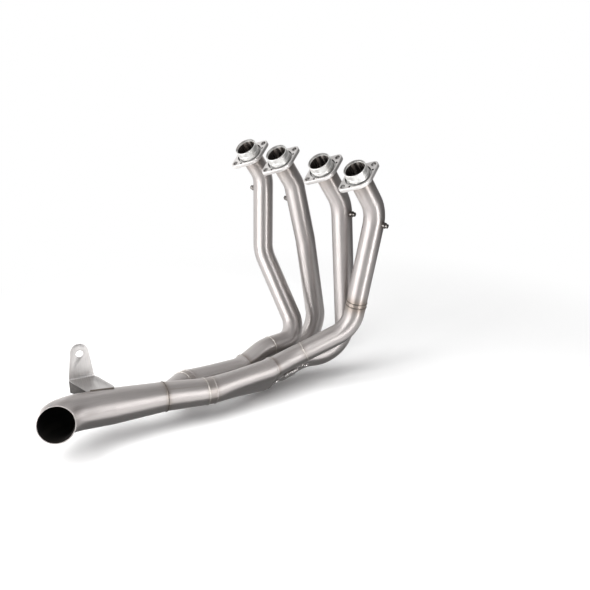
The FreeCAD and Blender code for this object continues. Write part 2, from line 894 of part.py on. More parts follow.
def slip_joint_socket():
    """Socket on the collector side: a neck of pipe size that flares to take the end of pipe 3."""
    bore = "primary_diameter / 2 - primary_wall"
    neck = "primary_diameter / 2"
    fit = "primary_diameter / 2 + slip_clearance"
    outer = fit + " + socket_wall"
    taper_start = "mouth_insertion + socket_length - socket_flare - socket_taper"
    taper_end = "mouth_insertion + socket_length - socket_flare"
    top = "mouth_insertion + socket_length"
    corners = [
        (bore, "0"),
        (neck, "0"),
        (neck, taper_start),
        (outer, taper_end),
        (outer, top),
        (fit, top),
        (fit, taper_end),
        (bore, taper_start),
    ]
    return turned_body("slip_joint_socket", corners, slip_frame(-size("mouth_insertion")))


socket = slip_joint_socket()
neck_start = slip_frame(-size("mouth_insertion"))
slip_neck = cylinder("slip_neck", "primary_diameter / 2", "socket_length - socket_flare", neck_start)


def spring_radius():
    """Distance from the axis of pipe 3 to the line of a spring."""
    return size("primary_diameter") / 2 + size("spring_line")


def hook_frame(order, distance):
    """Frame at a hook: origin on the pipe's axis, local X outward, local Z upstream."""
    angle = size("hook_spread") * order
    return slip_frame(distance).multiply(FreeCAD.Placement(Vector(), FreeCAD.Rotation(Vector(0, 0, 1), angle)))


def spring_hook(label, order, distance, way, base):
    """Bent rod hook; way is +1 where its tip points upstream. Its foot is cut to the pipe."""
    frame = hook_frame(order, distance)
    foot = size("primary_diameter") / 2 - size("hook_rod") / 2
    top = size("primary_diameter") / 2 + size("hook_reach")
    corners = [Vector(foot, 0, 0), Vector(top, 0, 0), Vector(top, 0, way * (size("hook_bend") + size("hook_tip")))]
    corners = [frame.multVec(corner) for corner in corners]
    bar = rod(label + "_bar", corners, [size("hook_bend")], "hook_rod / 2")
    keep(cut(label + "_hook", bar, base), label)


def slip_spring(label, order, high, low):
    """Tension spring: close coils with a straight arm and a round loop at each end."""
    frame = hook_frame(order, low)
    out = spring_radius()
    wire_radius = size("spring_wire") / 2
    coil_radius = size("spring_diameter") / 2 - wire_radius
    span = high - low
    body_length = size("spring_coils") * (size("spring_wire") + size("coil_gap"))
    start = (span - body_length) / 2
    coil = doc.addObject("Part::Helix", label + "_helix")
    coil.setExpression("Pitch", cell("spring_wire + coil_gap"))
    coil.setExpression("Height", cell("( spring_wire + coil_gap ) * spring_coils"))
    coil.setExpression("Radius", cell("spring_diameter / 2 - spring_wire / 2"))
    coil.Placement = frame.multiply(FreeCAD.Placement(Vector(out, 0, start), FreeCAD.Rotation()))
    section = doc.addObject("Part::Circle", label + "_wire")
    section.setExpression("Radius", cell("spring_wire / 2"))
    side_on = FreeCAD.Rotation(Vector(1, 0, 0), 90)
    section.Placement = frame.multiply(FreeCAD.Placement(Vector(out + coil_radius, 0, start), side_on))
    doc.recompute()
    coils = doc.addObject("Part::Sweep", label + "_coils")
    coils.Sections = [section]
    coils.Spine = (coil, ["Edge" + str(index + 1) for index in range(len(coil.Shape.Edges))])
    coils.Solid = True
    coils.Frenet = True
    pieces = [coils]
    loop = size("hook_rod") / 2 + size("loop_clearance") + wire_radius
    for end, near, way in (("low", 0, 1), ("high", span, -1)):
        ring = doc.addObject("Part::Torus", label + "_" + end + "_loop")
        ring.setExpression("Radius1", cell("hook_rod / 2 + loop_clearance + spring_wire / 2"))
        ring.setExpression("Radius2", cell("spring_wire / 2"))
        flat = FreeCAD.Rotation(Vector(0, 1, 0), 90)
        ring.Placement = frame.multiply(FreeCAD.Placement(Vector(out, 0, near), flat))
        coil_end = start if way > 0 else start + body_length
        corners = [
            Vector(out, 0, near + way * loop),
            Vector(out, 0, coil_end - way * size("spring_wire") * 1.5),
            Vector(out + coil_radius + wire_radius / 2, 0, coil_end),
        ]
        corners = [frame.multVec(corner) for corner in corners]
        pieces.append(ring)
        pieces.append(rod(label + "_" + end + "_arm", corners, [size("spring_wire")], "spring_wire / 2"))
    keep(joined(label + "_spring", pieces), label)


upper_hook = size("socket_length") + size("upper_hook_offset")
lower_hook = size("lower_hook_offset")
for order, name in ((1, "a"), (-1, "b")):
    spring_hook("pipe_hook_" + name, order, upper_hook, 1, slip_pipe)
    spring_hook("socket_hook_" + name, order, lower_hook, -1, slip_neck)
    slip_spring("slip_spring_" + name, order, upper_hook, lower_hook)

# Tail bracket


def bracket_frame():
    """Frame at the bracket's foot: local Y along the foot, local -X towards the tab."""
    foot = tail_frame(size("tail_cone_length")).Base + place("foot_offset")
    return FreeCAD.Placement(foot, FreeCAD.Rotation(Vector(0, 0, 1), -size("bracket_turn")))


def bracket_strip():
    """Strip of plate: a sloping base that folds up into a tab."""
    frame = bracket_frame()
    inner = Vector(size("bracket_reach") / 4, 0, -size("bracket_rise") / 4)
    fold = Vector(-size("bracket_reach"), 0, size("bracket_rise"))
    top = fold + Vector(0, 0, size("bracket_height"))
    wire = bent_wire([frame.multVec(spot) for spot in (inner, fold, top)], [size("bracket_bend")])
    across = size("bracket_width") / 2 + size("bracket_skew")
    half = size("bracket_thickness") / 2
    outline = [Vector(half, across, 0), Vector(half, -across, 0), Vector(-half, -across, 0), Vector(-half, across, 0)]
    section = Part.makePolygon(outline + outline[:1])
    slope = square_frame(inner, fold - inner, Vector(0, 0, 1))
    section.Placement = frame.multiply(slope)
    return sweep("bracket_strip", shape_holder("bracket_section", section), shape_holder("bracket_route", wire))


def foot_point(across):
    """Point where the top of the base meets the tail pipe, at a distance across the foot."""
    frame = bracket_frame()
    axis = tail_direction()
    rise = size("bracket_rise") / size("bracket_reach")
    low = -size("bracket_reach") / 2
    high = size("bracket_reach") / 2
    spot = frame.Base
    for _ in range(40):
        middle = (low + high) / 2
        spot = frame.multVec(Vector(middle, across, size("bracket_thickness") / 2 - middle * rise))
        offset = spot - place("final_ring")
        if (offset - axis * offset.dot(axis)).Length > size("tail_diameter") / 2:
            low = middle
        else:
            high = middle
    return spot


def bracket_outline():
    """Front outline of the bracket and the height of its hole.

    The base leans sideways from the foot to the fold, and the tab narrows to a round top.
    """
    fold = size("bracket_rise")
    below = fold - size("gusset_drop")
    side = size("bracket_width") / 2
    middle = -size("bracket_skew")
    radius = size("bracket_top_radius")
    centre = fold + size("bracket_height") - radius
    reach = math.hypot(side, centre - fold)
    angle = math.acos(radius / reach) - math.atan2(centre - fold, side)
    top = centre + radius * math.sin(angle)
    right = Vector(0, middle + radius * math.cos(angle), top)
    left = Vector(0, middle - radius * math.cos(angle), top)
    spots = [left, Vector(0, middle - side, fold), Vector(0, -side, 0), Vector(0, -side, below)]
    spots += [Vector(0, side, below), Vector(0, side, 0), Vector(0, middle + side, fold), right]
    edges = [Part.LineSegment(a, b).toShape() for a, b in zip(spots, spots[1:])]
    edges.append(Part.Arc(right, Vector(0, middle, centre + radius), left).toShape())
    return Part.Wire(edges), centre - size("hole_drop")


def plate_along(name, wire, direction, length, frame):
    """Plate pushed out from a closed outline given in the frame."""
    face = Part.Face(wire)
    face.Placement = frame.multiply(face.Placement)
    item = doc.addObject("Part::Extrusion", name)
    item.Base = shape_holder(name + "_face", face)
    item.DirMode = "Custom"
    item.Dir = frame.Rotation.multVec(direction)
    item.LengthFwd = length
    item.Solid = True
    return item


def tail_bracket():
    """Folded hanger bracket with one bolt hole, its foot cut to the tail pipe, and a gusset plate."""
    frame = bracket_frame()
    strip = bracket_strip()
    wire, hole_height = bracket_outline()
    reach = size("bracket_reach")
    thickness = size("bracket_thickness")
    outline_frame = frame.multiply(FreeCAD.Placement(Vector(-reach - thickness, 0, 0), FreeCAD.Rotation()))
    front = plate_along("bracket_front", wire, Vector(1, 0, 0), reach * 2, outline_frame)
    blank = doc.addObject("Part::Common", "bracket_blank")
    blank.Base = front
    blank.Tool = strip
    skew = size("bracket_skew")
    through = FreeCAD.Placement(Vector(-reach - thickness, -skew, hole_height), FreeCAD.Rotation(Vector(0, 1, 0), 90))
    hole = cylinder("bracket_bolt_hole", "bracket_hole / 2", "bracket_thickness * 2", frame.multiply(through))
    keep(cut("bracket_plate", blank, joined("bracket_tools", [hole, elbow_outside, cone_outside])), "tail_bracket")
    rise = size("bracket_rise")
    low = rise - size("gusset_drop")
    corners = [Vector(-reach, -skew, rise), Vector(-reach, -skew, low), Vector(0, 0, low), Vector(0, 0, 0)]
    outline = Part.makePolygon(corners + corners[:1])
    edge = FreeCAD.Placement(Vector(0, -size("bracket_width") / 2, 0), FreeCAD.Rotation())
    inward = unit(Vector(-skew, reach, 0))
    web = plate_along("gusset_web", outline, inward, size("gusset_thickness"), frame.multiply(edge))
    tools = joined("gusset_tools", [strip, elbow_outside])
    keep(cut("gusset_plate", web, tools), "bracket_gusset")
    side = size("bracket_width") / 2 - size("foot_weld")
    bead = rod("bracket_bead", [foot_point(-side), foot_point(side)], [], "foot_weld")
    sides = joined("bracket_bead_tools", [strip, elbow_outside, cone_outside])
    keep(cut("bracket_bead_cut", bead, sides), "bracket_weld")


tail_bracket()

doc.recompute()
for item in doc.Objects:
    if "Invalid" in item.State or "Error" in item.State:
        raise RuntimeError(item.Name + " did not build: " + str(item.State))

os.makedirs("parts", exist_ok=True)
for item in parts:
    if item.Shape.isNull() or not item.Shape.isValid() or len(item.Shape.Solids) != 1:
        raise RuntimeError(item.Label + " is not one sound solid")
    item.Shape.exportStep("parts/" + item.Label + ".step")
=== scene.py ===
"""Motorcycle exhaust header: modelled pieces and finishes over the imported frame."""

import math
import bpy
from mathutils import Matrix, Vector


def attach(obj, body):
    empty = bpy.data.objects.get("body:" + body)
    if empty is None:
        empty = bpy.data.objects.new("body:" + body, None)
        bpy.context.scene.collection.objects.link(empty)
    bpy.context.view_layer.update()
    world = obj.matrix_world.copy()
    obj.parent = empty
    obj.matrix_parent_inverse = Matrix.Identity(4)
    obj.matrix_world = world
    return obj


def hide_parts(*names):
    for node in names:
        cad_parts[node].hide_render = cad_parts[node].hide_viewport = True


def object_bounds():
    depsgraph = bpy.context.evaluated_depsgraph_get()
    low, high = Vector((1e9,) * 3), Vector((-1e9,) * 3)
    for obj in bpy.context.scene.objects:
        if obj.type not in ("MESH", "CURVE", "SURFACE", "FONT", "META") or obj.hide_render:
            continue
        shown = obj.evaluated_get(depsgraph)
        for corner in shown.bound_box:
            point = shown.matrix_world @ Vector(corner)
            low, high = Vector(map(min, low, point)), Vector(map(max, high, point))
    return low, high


bl_info = {
    "name": "Motorcycle Exhaust Header",
    "version": (1, 0, 0),
    "blender": (4, 5, 0),
    "location": "View3D > Sidebar > Header",
    "description": "Models the pipes, collectors, flanges, springs and bracket of an exhaust header",
    "category": "Add Mesh",
}

import bpy
import numpy as np
from bpy.props import FloatProperty, FloatVectorProperty, IntProperty, PointerProperty
from bpy.types import Operator, Panel, PropertyGroup
from mathutils import Matrix, Vector

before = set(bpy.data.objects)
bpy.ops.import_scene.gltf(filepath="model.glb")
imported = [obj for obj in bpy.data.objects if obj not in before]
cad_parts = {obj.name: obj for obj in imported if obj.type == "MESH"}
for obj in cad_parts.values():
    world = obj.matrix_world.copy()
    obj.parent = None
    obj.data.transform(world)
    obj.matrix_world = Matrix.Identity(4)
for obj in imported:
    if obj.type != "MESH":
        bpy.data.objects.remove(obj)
CAD_LOW, CAD_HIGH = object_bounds()
MM = 0.001
UP = Vector((0, 0, 1))
CYLINDERS = (1, 2, 3, 4)
SIDES = ("left", "right")
SPRINGS = ("a", "b")

# Driving dimensions in millimetres and degrees, the same as in the part's source.
# Ports, flanges and collars
OUTER_PITCH = 82.0
INNER_PITCH = 106.0
PORT_TILT = 36.0
FLANGE_TURN = 65.5
FLANGE_THICKNESS = 8.0
STUD_SPOT = (33.0, 0.0)
LOCATING_SPOT = (24.85, -10.55)
RECESS_DEPTH = 4.0
SHOULDER_PROUD = 3.5
SHOULDER_HEIGHT = 1.6
SPIGOT_PROUD = 1.8
SPIGOT_STEP = 7.0
SPIGOT_HEIGHT = 18.0
RIM_PROUD = 1.2
RIM_WALL = 1.4
RIM_LEDGE = 4.5
# Pipes
PIPE_RADIUS = 19.5
PIPE_WALL = 1.2
PIPE_CLEARANCE = 0.8
SECONDARY_RADIUS = 24.0
SECONDARY_WALL = 1.5
SECONDARY_LENGTH = 17.0
FINAL_RADIUS = 26.0
TAIL_RADIUS = 31.0
TAIL_WALL = 1.5
TAIL_LENGTH = 96.0
TAIL_BEND = 60.0
# Straights from a port to the first corner and from the last corner to a mouth, and the bends between
LEADS = {1: 62.0, 2: 64.0, 3: 92.0, 4: 92.0}
APPROACHES = {1: 50.0, 2: 36.0, 3: 100.0, 4: 50.0}
BENDS = {1: [50, 57, 45, 70], 2: [50, 100, 57, 57], 3: [75, 62, 70], 4: [75, 57, 80]}
# Places of welded joints, as shares of the straight between two corners
JOINT_1 = 0.84
JOINT_4_UPPER = 0.78
JOINT_4_MIDDLE = 0.8
# Collectors
PAIR_GAP = 2.0
PAIR_HALF = PIPE_RADIUS + PAIR_GAP / 2
MOUTH_LENGTH = 12.0
MOUTH_INSERTION = 10.0
MERGE_RADIUS = PIPE_RADIUS + SECONDARY_WALL
RIM_RADIUS = MERGE_RADIUS + 0.8
RIM_WIDTH = 3.0
# Slip joint
SOCKET_LENGTH = 62.0
SOCKET_FLARE = 30.0
SOCKET_TAPER = 6.0
SOCKET_WALL = 1.5
SLIP_CLEARANCE = 0.3
SLIP_END_GAP = 2.0
# Welds and bracket
BEAD = 1.2
DOUBLE_BEAD = 8.0
RIPPLE_PITCH = 1.8
SLOW_WAVES = 7
SLOW_SHARE = 0.5
BRACKET_TURN = 22.0

# Corners of the pipe runs, and places and directions of the collectors, in the header's own frame.
KNEES = {1: Vector((-135, 33, -205)), 2: Vector((-53, 70, -170))}
ELBOWS = {
    1: Vector((-32, 32, -362)),
    2: Vector((-53, 114, -400)),
    3: Vector((53, 76, -384)),
    4: Vector((98, 36, -306)),
}
UPPER_INLETS = {"left": Vector((-38, -113, -375)), "right": Vector((33, -112, -361))}
INFLOWS = {"left": Vector((-6, -94, -34)), "right": Vector((-8, -99, -12))}
RINGS = {"left": Vector((-55, -255, -374)), "right": Vector((0, -249, -370))}
PAIR_LEAN = Vector((26, 0, 31))
FINAL_RING = Vector((-29, -315, -365))
TAIL_CORNER = Vector((-86, -497, -353))
OUTLET = Vector((-33, -525, -337))
FOOT_OFFSET = Vector((-11.4, -7.6, 30.0))

# Distance of each test port along its pipe and the way it faces, as an angle from +X about +Z.
TEST_PORTS = {
    1: ("primary_1_upper", 84.0, 190.0),
    2: ("primary_2", 94.0, 190.0),
    3: ("primary_3", 105.0, 8.0),
    4: ("primary_4_upper", 106.0, 8.0),
}

# Heat tint beside welds, ports and test ports, and painted shade on the pipes where they go into the
# collectors' mouths: reach in millimetres and strength, and how far out from the pipe it still counts, as a
# share of a weld's radius or in millimetres below a port.
WELD_HEAT = (5.0, 0.35)
BURNT_WELDS = {"weld_final": (5.0, 0.6), "weld_4_upper_a": (11.0, 0.95), "weld_4_upper_b": (11.0, 0.95)}
PORT_HEAT = (24.0, 0.5)
# Painted shade on the pipes where they go into the collectors' mouths, laid in with the heat tint.
MOUTH_PAINTED_SHADE = (3.5, 1.0)
BOSS_HEAT = (10.0, 0.6)
WELD_HEAT_WIDTH = 1.35
PORT_HEAT_WIDTH = 6.5
MOUTH_SHADE_PLACE = -1.5

# Painted shade on a flange, in the gap round the collar and in the stud and locating holes: centre, radius
# and share of the plate's tone, and the width of their soft edge.
FLANGE_PAINTED_SHADE = (((0.0, 0.0), 24.2, 0.08), (STUD_SPOT, 4.4, 0.45), (LOCATING_SPOT, 1.7, 0.08))
CIRCLE_EDGE = 0.5

# Rows of faces at a collector's mouth: distance with the flow and radius of the two ends of the oval.
MOUTH_ROWS = (
    (0.0, RIM_RADIUS),
    (0.6, RIM_RADIUS),
    (RIM_WIDTH - 0.6, RIM_RADIUS),
    (RIM_WIDTH, RIM_RADIUS),
    (RIM_WIDTH, MERGE_RADIUS),
    (RIM_WIDTH + 0.8, MERGE_RADIUS),
    (MOUTH_LENGTH - 1.0, MERGE_RADIUS),
)

# Rounding of edges in millimetres, by piece
ROUNDING = {
    "collar": 0.2,
    "boss": 0.3,
    "plug": 0.35,
    "socket": 0.4,
    "hook": 0.4,
    "bracket": 0.2,
    "gusset": 0.3,
}

# Faces of the modelled pieces: millimetres of a straight, degrees of a bend, and counts
STATION = 5.0
BEND_STEP = 3.0
PIPE_SIDES = 96
COLLAR_SIDES = 128
CONE_STEPS = 24
MERGE_STEPS = 30
ARC_COLUMNS = 36
FLAT_COLUMNS = 12
BEAD_LENGTHS = 288
BEAD_SIDES = 16

# Metres within which points are one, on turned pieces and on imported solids, and degrees of a flat
TURNED_MERGE = 0.00001
SOLID_MERGE = 0.000002
FLAT_ANGLE = 0.4


def square_frame(base, axis, toward):
    """Matrix at a point in millimetres, local Z along axis and local X as near toward as it can be."""
    axis = Vector(axis).normalized()
    across = Vector(toward) - axis * Vector(toward).dot(axis)
    across.normalize()
    turn = Matrix((across, axis.cross(across), axis)).transposed().to_4x4()
    return Matrix.Translation(Vector(base) * MM) @ turn


def shifted(place, distance):
    """The same frame moved along its own Z by a distance in millimetres."""
    return place @ Matrix.Translation((0, 0, distance * MM))


def spot_of(place):
    """Origin of a frame, in millimetres."""
    return place.translation / MM


def port_frame(number, height=0.0):
    """Frame on a port's axis: local Z out of the spigot, towards the cylinder head."""
    inner = INNER_PITCH / 2
    outer = inner + OUTER_PITCH
    across = {1: -outer, 2: -inner, 3: inner, 4: outer}[number]
    turned = Matrix.Rotation(math.radians(PORT_TILT), 4, "X")
    return shifted(Matrix.Translation((across * MM, 0, 0)) @ turned, height)


def mouth_frame(side):
    """Frame at the middle of a collector's mouth: local Z with the flow, local X to the upper pipe."""
    place = square_frame(UPPER_INLETS[side], INFLOWS[side], PAIR_LEAN)
    return place @ Matrix.Translation((-PAIR_HALF * MM, 0, 0))


def secondary_frame(side):
    """Frame at the upstream end of a secondary pipe, halfway between the flow before it and after it."""
    before = RINGS[side] - spot_of(mouth_frame(side))
    after = FINAL_RING - RINGS[side]
    axis = before.normalized() + after.normalized()
    return shifted(square_frame(RINGS[side], axis, PAIR_LEAN), -SECONDARY_LENGTH)


def inlet_frame(number, distance):
    """Frame on the end of a primary pipe, a distance past its collector's mouth."""
    side = "left" if number in (1, 2) else "right"
    way = 1 if number in (1, 4) else -1
    return mouth_frame(side) @ Matrix.Translation((way * PAIR_HALF * MM, 0, distance * MM))


TAIL = square_frame(FINAL_RING, TAIL_CORNER - FINAL_RING, UP)
TAIL_END = spot_of(shifted(TAIL, TAIL_LENGTH))
SLIP = square_frame(spot_of(inlet_frame(3, 0)), -INFLOWS["right"], PAIR_LEAN)
BRACKET_ACROSS = Matrix.Rotation(-math.radians(BRACKET_TURN), 3, "Z").col[0]
BRACKET = square_frame(TAIL_END + FOOT_OFFSET, UP, BRACKET_ACROSS)


def pipe_runs():
    """Corners and bend radii of each bent pipe, in millimetres from its first end to its last."""
    seats = {}
    leads = {}
    approaches = {}
    ends = {}
    for number in CYLINDERS:
        seats[number] = spot_of(port_frame(number, -RECESS_DEPTH))
        leads[number] = spot_of(port_frame(number, -LEADS[number]))
        approaches[number] = spot_of(inlet_frame(number, -APPROACHES[number]))
        ends[number] = spot_of(inlet_frame(number, MOUTH_INSERTION))
    slip_end = spot_of(inlet_frame(3, SOCKET_FLARE - SOCKET_LENGTH - SLIP_END_GAP))
    joint_1 = ELBOWS[1].lerp(approaches[1], JOINT_1)
    upper_4 = leads[4].lerp(ELBOWS[4], JOINT_4_UPPER)
    middle_4 = ELBOWS[4].lerp(approaches[4], JOINT_4_MIDDLE)
    return {
        "primary_1_upper": ([seats[1], leads[1], KNEES[1], ELBOWS[1], joint_1], BENDS[1][:3]),
        "primary_1_lower": ([joint_1, approaches[1], ends[1]], BENDS[1][3:]),
        "primary_2": ([seats[2], leads[2], KNEES[2], ELBOWS[2], approaches[2], ends[2]], BENDS[2]),
        "primary_3": ([seats[3], leads[3], ELBOWS[3], approaches[3], slip_end], BENDS[3]),
        "primary_4_upper": ([seats[4], leads[4], upper_4], BENDS[4][:1]),
        "primary_4_middle": ([upper_4, ELBOWS[4], middle_4], BENDS[4][1:2]),
        "primary_4_lower": ([middle_4, approaches[4], ends[4]], BENDS[4][2:]),
        "tail_elbow": ([TAIL_END, TAIL_CORNER, OUTLET], [TAIL_BEND]),
    }


PIPE_RUNS = pipe_runs()


class HeaderSizes(PropertyGroup):
    """Sizes of the modelled pieces that a user may change."""

    pipe_radius: FloatProperty(
        name="Pipe Radius",
        description="Outside radius of the four primary pipes",
        default=PIPE_RADIUS * MM,
        unit="LENGTH",
    )
    pipe_wall: FloatProperty(
        name="Pipe Wall", description="Wall of the four primary pipes", default=PIPE_WALL * MM, unit="LENGTH"
    )
    tail_radius: FloatProperty(
        name="Tail Radius", description="Outside radius of the tail", default=TAIL_RADIUS * MM, unit="LENGTH"
    )
    tail_wall: FloatProperty(
        name="Tail Wall", description="Wall of the tail pipe", default=TAIL_WALL * MM, unit="LENGTH"
    )
    edge_round: FloatProperty(
        name="Edge Rounding", description="Rounding on the flanges' edges", default=0.45 * MM, unit="LENGTH"
    )
    bead_ripple: FloatProperty(
        name="Bead Ripple", description="Depth of the ripples on a bead", default=0.22 * MM, unit="LENGTH"
    )
    pipe_sides: IntProperty(
        name="Pipe Sides", description="Faces round a pipe", default=PIPE_SIDES, min=24, max=160
    )


class HeaderColours(PropertyGroup):
    """Colours of the finishes that a user may change."""

    tube: FloatVectorProperty(
        name="Tube", description="Satin steel of the pipes", subtype="COLOR", default=(0.50, 0.469, 0.458)
    )
    machined: FloatVectorProperty(
        name="Machined", description="Turned and milled steel", subtype="COLOR", default=(0.67, 0.649, 0.636)
    )
    bead: FloatVectorProperty(
        name="Weld Bead", description="Bright weld metal", subtype="COLOR", default=(0.58, 0.56, 0.53)
    )
    # Also the colour of the painted shade where the pipes go into the collectors' mouths.
    tint: FloatVectorProperty(
        name="Heat Tint", description="Brown tint beside welds", subtype="COLOR", default=(0.27, 0.21, 0.165)
    )
    # Painted shade inside the pipes and on the bracket's gusset.
    bore_shade: FloatVectorProperty(
        name="Bore", description="Dark inside of the pipes", subtype="COLOR", default=(0.045, 0.040, 0.037)
    )
    sheet: FloatVectorProperty(
        name="Bracket", description="Satin sheet of the bracket", subtype="COLOR", default=(0.60, 0.58, 0.57)
    )
    wire: FloatVectorProperty(
        name="Wire", description="Wire of the springs and hooks", subtype="COLOR", default=(0.74, 0.72, 0.70)
    )
    plug: FloatVectorProperty(
        name="Plug", description="Dark steel of the test ports", subtype="COLOR", default=(0.20, 0.185, 0.175)
    )


def sizes():
    return bpy.context.scene.header_sizes


def colours():
    return bpy.context.scene.header_colours


def pipe_radius():
    """Outside radius of the primary pipes in millimetres."""
    return sizes().pipe_radius / MM


def pipe_bore():
    """Inside radius of the primary pipes in millimetres."""
    return pipe_radius() - sizes().pipe_wall / MM


# Node trees of the finishes


def node(tree, kind, inputs=None, **settings):
    """New node with its settings and the values or links of its inputs."""
    item = tree.nodes.new(kind)
    for name, value in settings.items():
        setattr(item, name, value)
    for name, value in (inputs or {}).items():
        if isinstance(value, bpy.types.NodeSocket):
            tree.links.new(value, item.inputs[name])
        else:
            item.inputs[name].default_value = value
    return item


def grain(tree, source, scale, detail=3.0, roughness=0.55):
    """Noise stretched by a scale for each axis of the coordinates."""
    mapping = node(tree, "ShaderNodeMapping", {"Vector": source, "Scale": scale})
    item = node(
        tree,
        "ShaderNodeTexNoise",
        {"Vector": mapping.outputs["Vector"], "Scale": 1.0, "Detail": detail, "Roughness": roughness},
    )
    return item.outputs["Fac"]


def spread(tree, value, low, high, start=0.0, end=1.0):
    """Value carried from one range to another."""
    item = node(
        tree,
        "ShaderNodeMapRange",
        {"Value": value, "From Min": start, "From Max": end, "To Min": low, "To Max": high},
    )
    return item.outputs["Result"]


def tinted(tree, factor, first, second):
    """Colour between two colours or colour sockets."""
    item = node(tree, "ShaderNodeMix", data_type="RGBA")
    ends = {6: first, 7: second}
    tree.links.new(factor, item.inputs[0])
    for index, value in ends.items():
        if isinstance(value, bpy.types.NodeSocket):
            tree.links.new(value, item.inputs[index])
        else:
            item.inputs[index].default_value = (*value, 1.0)
    return item.outputs[2]


def shaded(colour, share):
    """Colour made lighter or darker by a share."""
    return tuple(min(1.0, channel * share) for channel in colour)


def metal(name, metallic=1.0, brushed=0.0):
    """Material with its shader and the straightened coordinates; brushed steel gleams along the piece."""
    material = bpy.data.materials.new(name)
    material.use_nodes = True
    tree = material.node_tree
    shader = tree.nodes["Principled BSDF"]
    shader.inputs["Metallic"].default_value = metallic
    shader.inputs["Anisotropic"].default_value = brushed
    heading = node(tree, "ShaderNodeAttribute", attribute_name="heading").outputs["Vector"]
    tree.links.new(heading, shader.inputs["Tangent"])
    straight = node(tree, "ShaderNodeAttribute", attribute_name="straight").outputs["Vector"]
    return material, tree, shader, straight


def satin_steel():
    """Brushed tube: fine scratches round the pipe, long streaks, cloudy tone, heat tint beside welds and
    painted shade where the pipes go into the collectors' mouths.
    """
    material, tree, shader, straight = metal("satin_steel", brushed=0.9)
    base = tuple(colours().tube)
    streaks = grain(tree, straight, (900, 900, 26), 4.0, 0.6)
    scratches = grain(tree, straight, (60, 60, 2400), 3.0, 0.6)
    cloud = grain(tree, straight, (26, 26, 16), 3.0)
    tone = tinted(tree, spread(tree, streaks, 0, 1, 0.3, 0.7), shaded(base, 0.93), shaded(base, 1.07))
    tone = tinted(tree, spread(tree, cloud, 0, 0.4, 0.45, 0.8), tone, shaded(base, 0.86))
    # Heat tint beside welds, and painted shade at the collectors' mouths, both in the tint colour.
    tint_and_shade = node(tree, "ShaderNodeAttribute", attribute_name="heat_tint_and_shade").outputs["Fac"]
    tone = tinted(tree, spread(tree, tint_and_shade, 0, 0.75), tone, tuple(colours().tint))
    tree.links.new(tone, shader.inputs["Base Color"])
    fine = spread(tree, streaks, 0.42, 0.48)
    broad = spread(tree, cloud, -0.03, 0.05)
    rough = node(tree, "ShaderNodeMath", {0: fine, 1: broad})
    tree.links.new(rough.outputs[0], shader.inputs["Roughness"])
    relief = node(tree, "ShaderNodeMath", {0: scratches, 1: spread(tree, streaks, 0, 0.5)})
    bump = node(tree, "ShaderNodeBump", {"Strength": 0.1, "Distance": 0.0001, "Height": relief.outputs[0]})
    tree.links.new(bump.outputs["Normal"], shader.inputs["Normal"])
    return material


def inside(name, metallic, share, bright, smooth):
    """Inside of a pipe: painted shade from a share of the bore's shade colour, with lighter streaks along it
    as a painted reflection.
    """
    material, tree, shader, straight = metal(name, metallic, brushed=0.8 * metallic)
    base = shaded(tuple(colours().bore_shade), share)
    streaks = grain(tree, straight, (75, 75, 8), 2.0)
    # Lighter streaks along the bore as a painted reflection.
    tone = tinted(tree, spread(tree, streaks, 0, 1, 0.5, 0.68), base, shaded(base, bright))
    tree.links.new(tone, shader.inputs["Base Color"])
    tree.links.new(spread(tree, streaks, smooth + 0.2, smooth), shader.inputs["Roughness"])
    shader.inputs["Specular IOR Level"].default_value = 0.2
    return material


def painted_shade_bore():
    """Inside of the tail: matt black painted shade."""
    return inside("painted_shade_bore", 0.0, 0.25, 1.6, 0.6)


def painted_shade_port_bore():
    """Inside of the primary pipes: dark steel as painted shade, with bright streaks as a painted reflection.
    """
    return inside("painted_shade_port_bore", 1.0, 1.6, 12.0, 0.3)


def machined_steel():
    """Turned and milled steel: fine rings about the piece's axis and a bright satin ground."""
    material, tree, shader, straight = metal("machined_steel", brushed=0.85)
    base = tuple(colours().machined)
    split = node(tree, "ShaderNodeSeparateXYZ", {"Vector": straight})
    flat = node(tree, "ShaderNodeCombineXYZ", {"X": split.outputs["X"], "Y": split.outputs["Y"]})
    radius = node(tree, "ShaderNodeVectorMath", {0: flat.outputs["Vector"]}, operation="LENGTH")
    rings = node(tree, "ShaderNodeCombineXYZ", {"X": radius.outputs["Value"], "Z": split.outputs["Z"]})
    turning = grain(tree, rings.outputs["Vector"], (2600, 1, 2600), 3.0)
    cloud = grain(tree, straight, (90, 90, 90), 3.0)
    tone = tinted(tree, spread(tree, turning, 0, 1, 0.3, 0.7), shaded(base, 0.84), shaded(base, 1.1))
    tone = tinted(tree, spread(tree, cloud, 0, 0.2, 0.45, 0.8), tone, shaded(base, 0.8))
    tree.links.new(tone, shader.inputs["Base Color"])
    tree.links.new(spread(tree, turning, 0.24, 0.32), shader.inputs["Roughness"])
    bump = node(tree, "ShaderNodeBump", {"Strength": 0.2, "Distance": 0.0001, "Height": turning})
    tree.links.new(bump.outputs["Normal"], shader.inputs["Normal"])
    return material


def inside_circle(tree, straight, spot, radius):
    """One within a radius in millimetres of a spot and of its mirror image across X, nought outside."""
    mirrored = node(tree, "ShaderNodeVectorMath", {0: straight}, operation="ABSOLUTE").outputs["Vector"]
    across = node(tree, "ShaderNodeSeparateXYZ", {"Vector": mirrored}).outputs["X"]
    along = node(tree, "ShaderNodeSeparateXYZ", {"Vector": straight}).outputs["Y"]
    flat = node(tree, "ShaderNodeCombineXYZ", {"X": across, "Y": along}).outputs["Vector"]
    centre = (spot[0] * MM, spot[1] * MM, 0)
    distance = node(tree, "ShaderNodeVectorMath", {0: flat, 1: centre}, operation="DISTANCE").outputs["Value"]
    return spread(tree, distance, 1, 0, radius * MM, (radius + CIRCLE_EDGE) * MM)


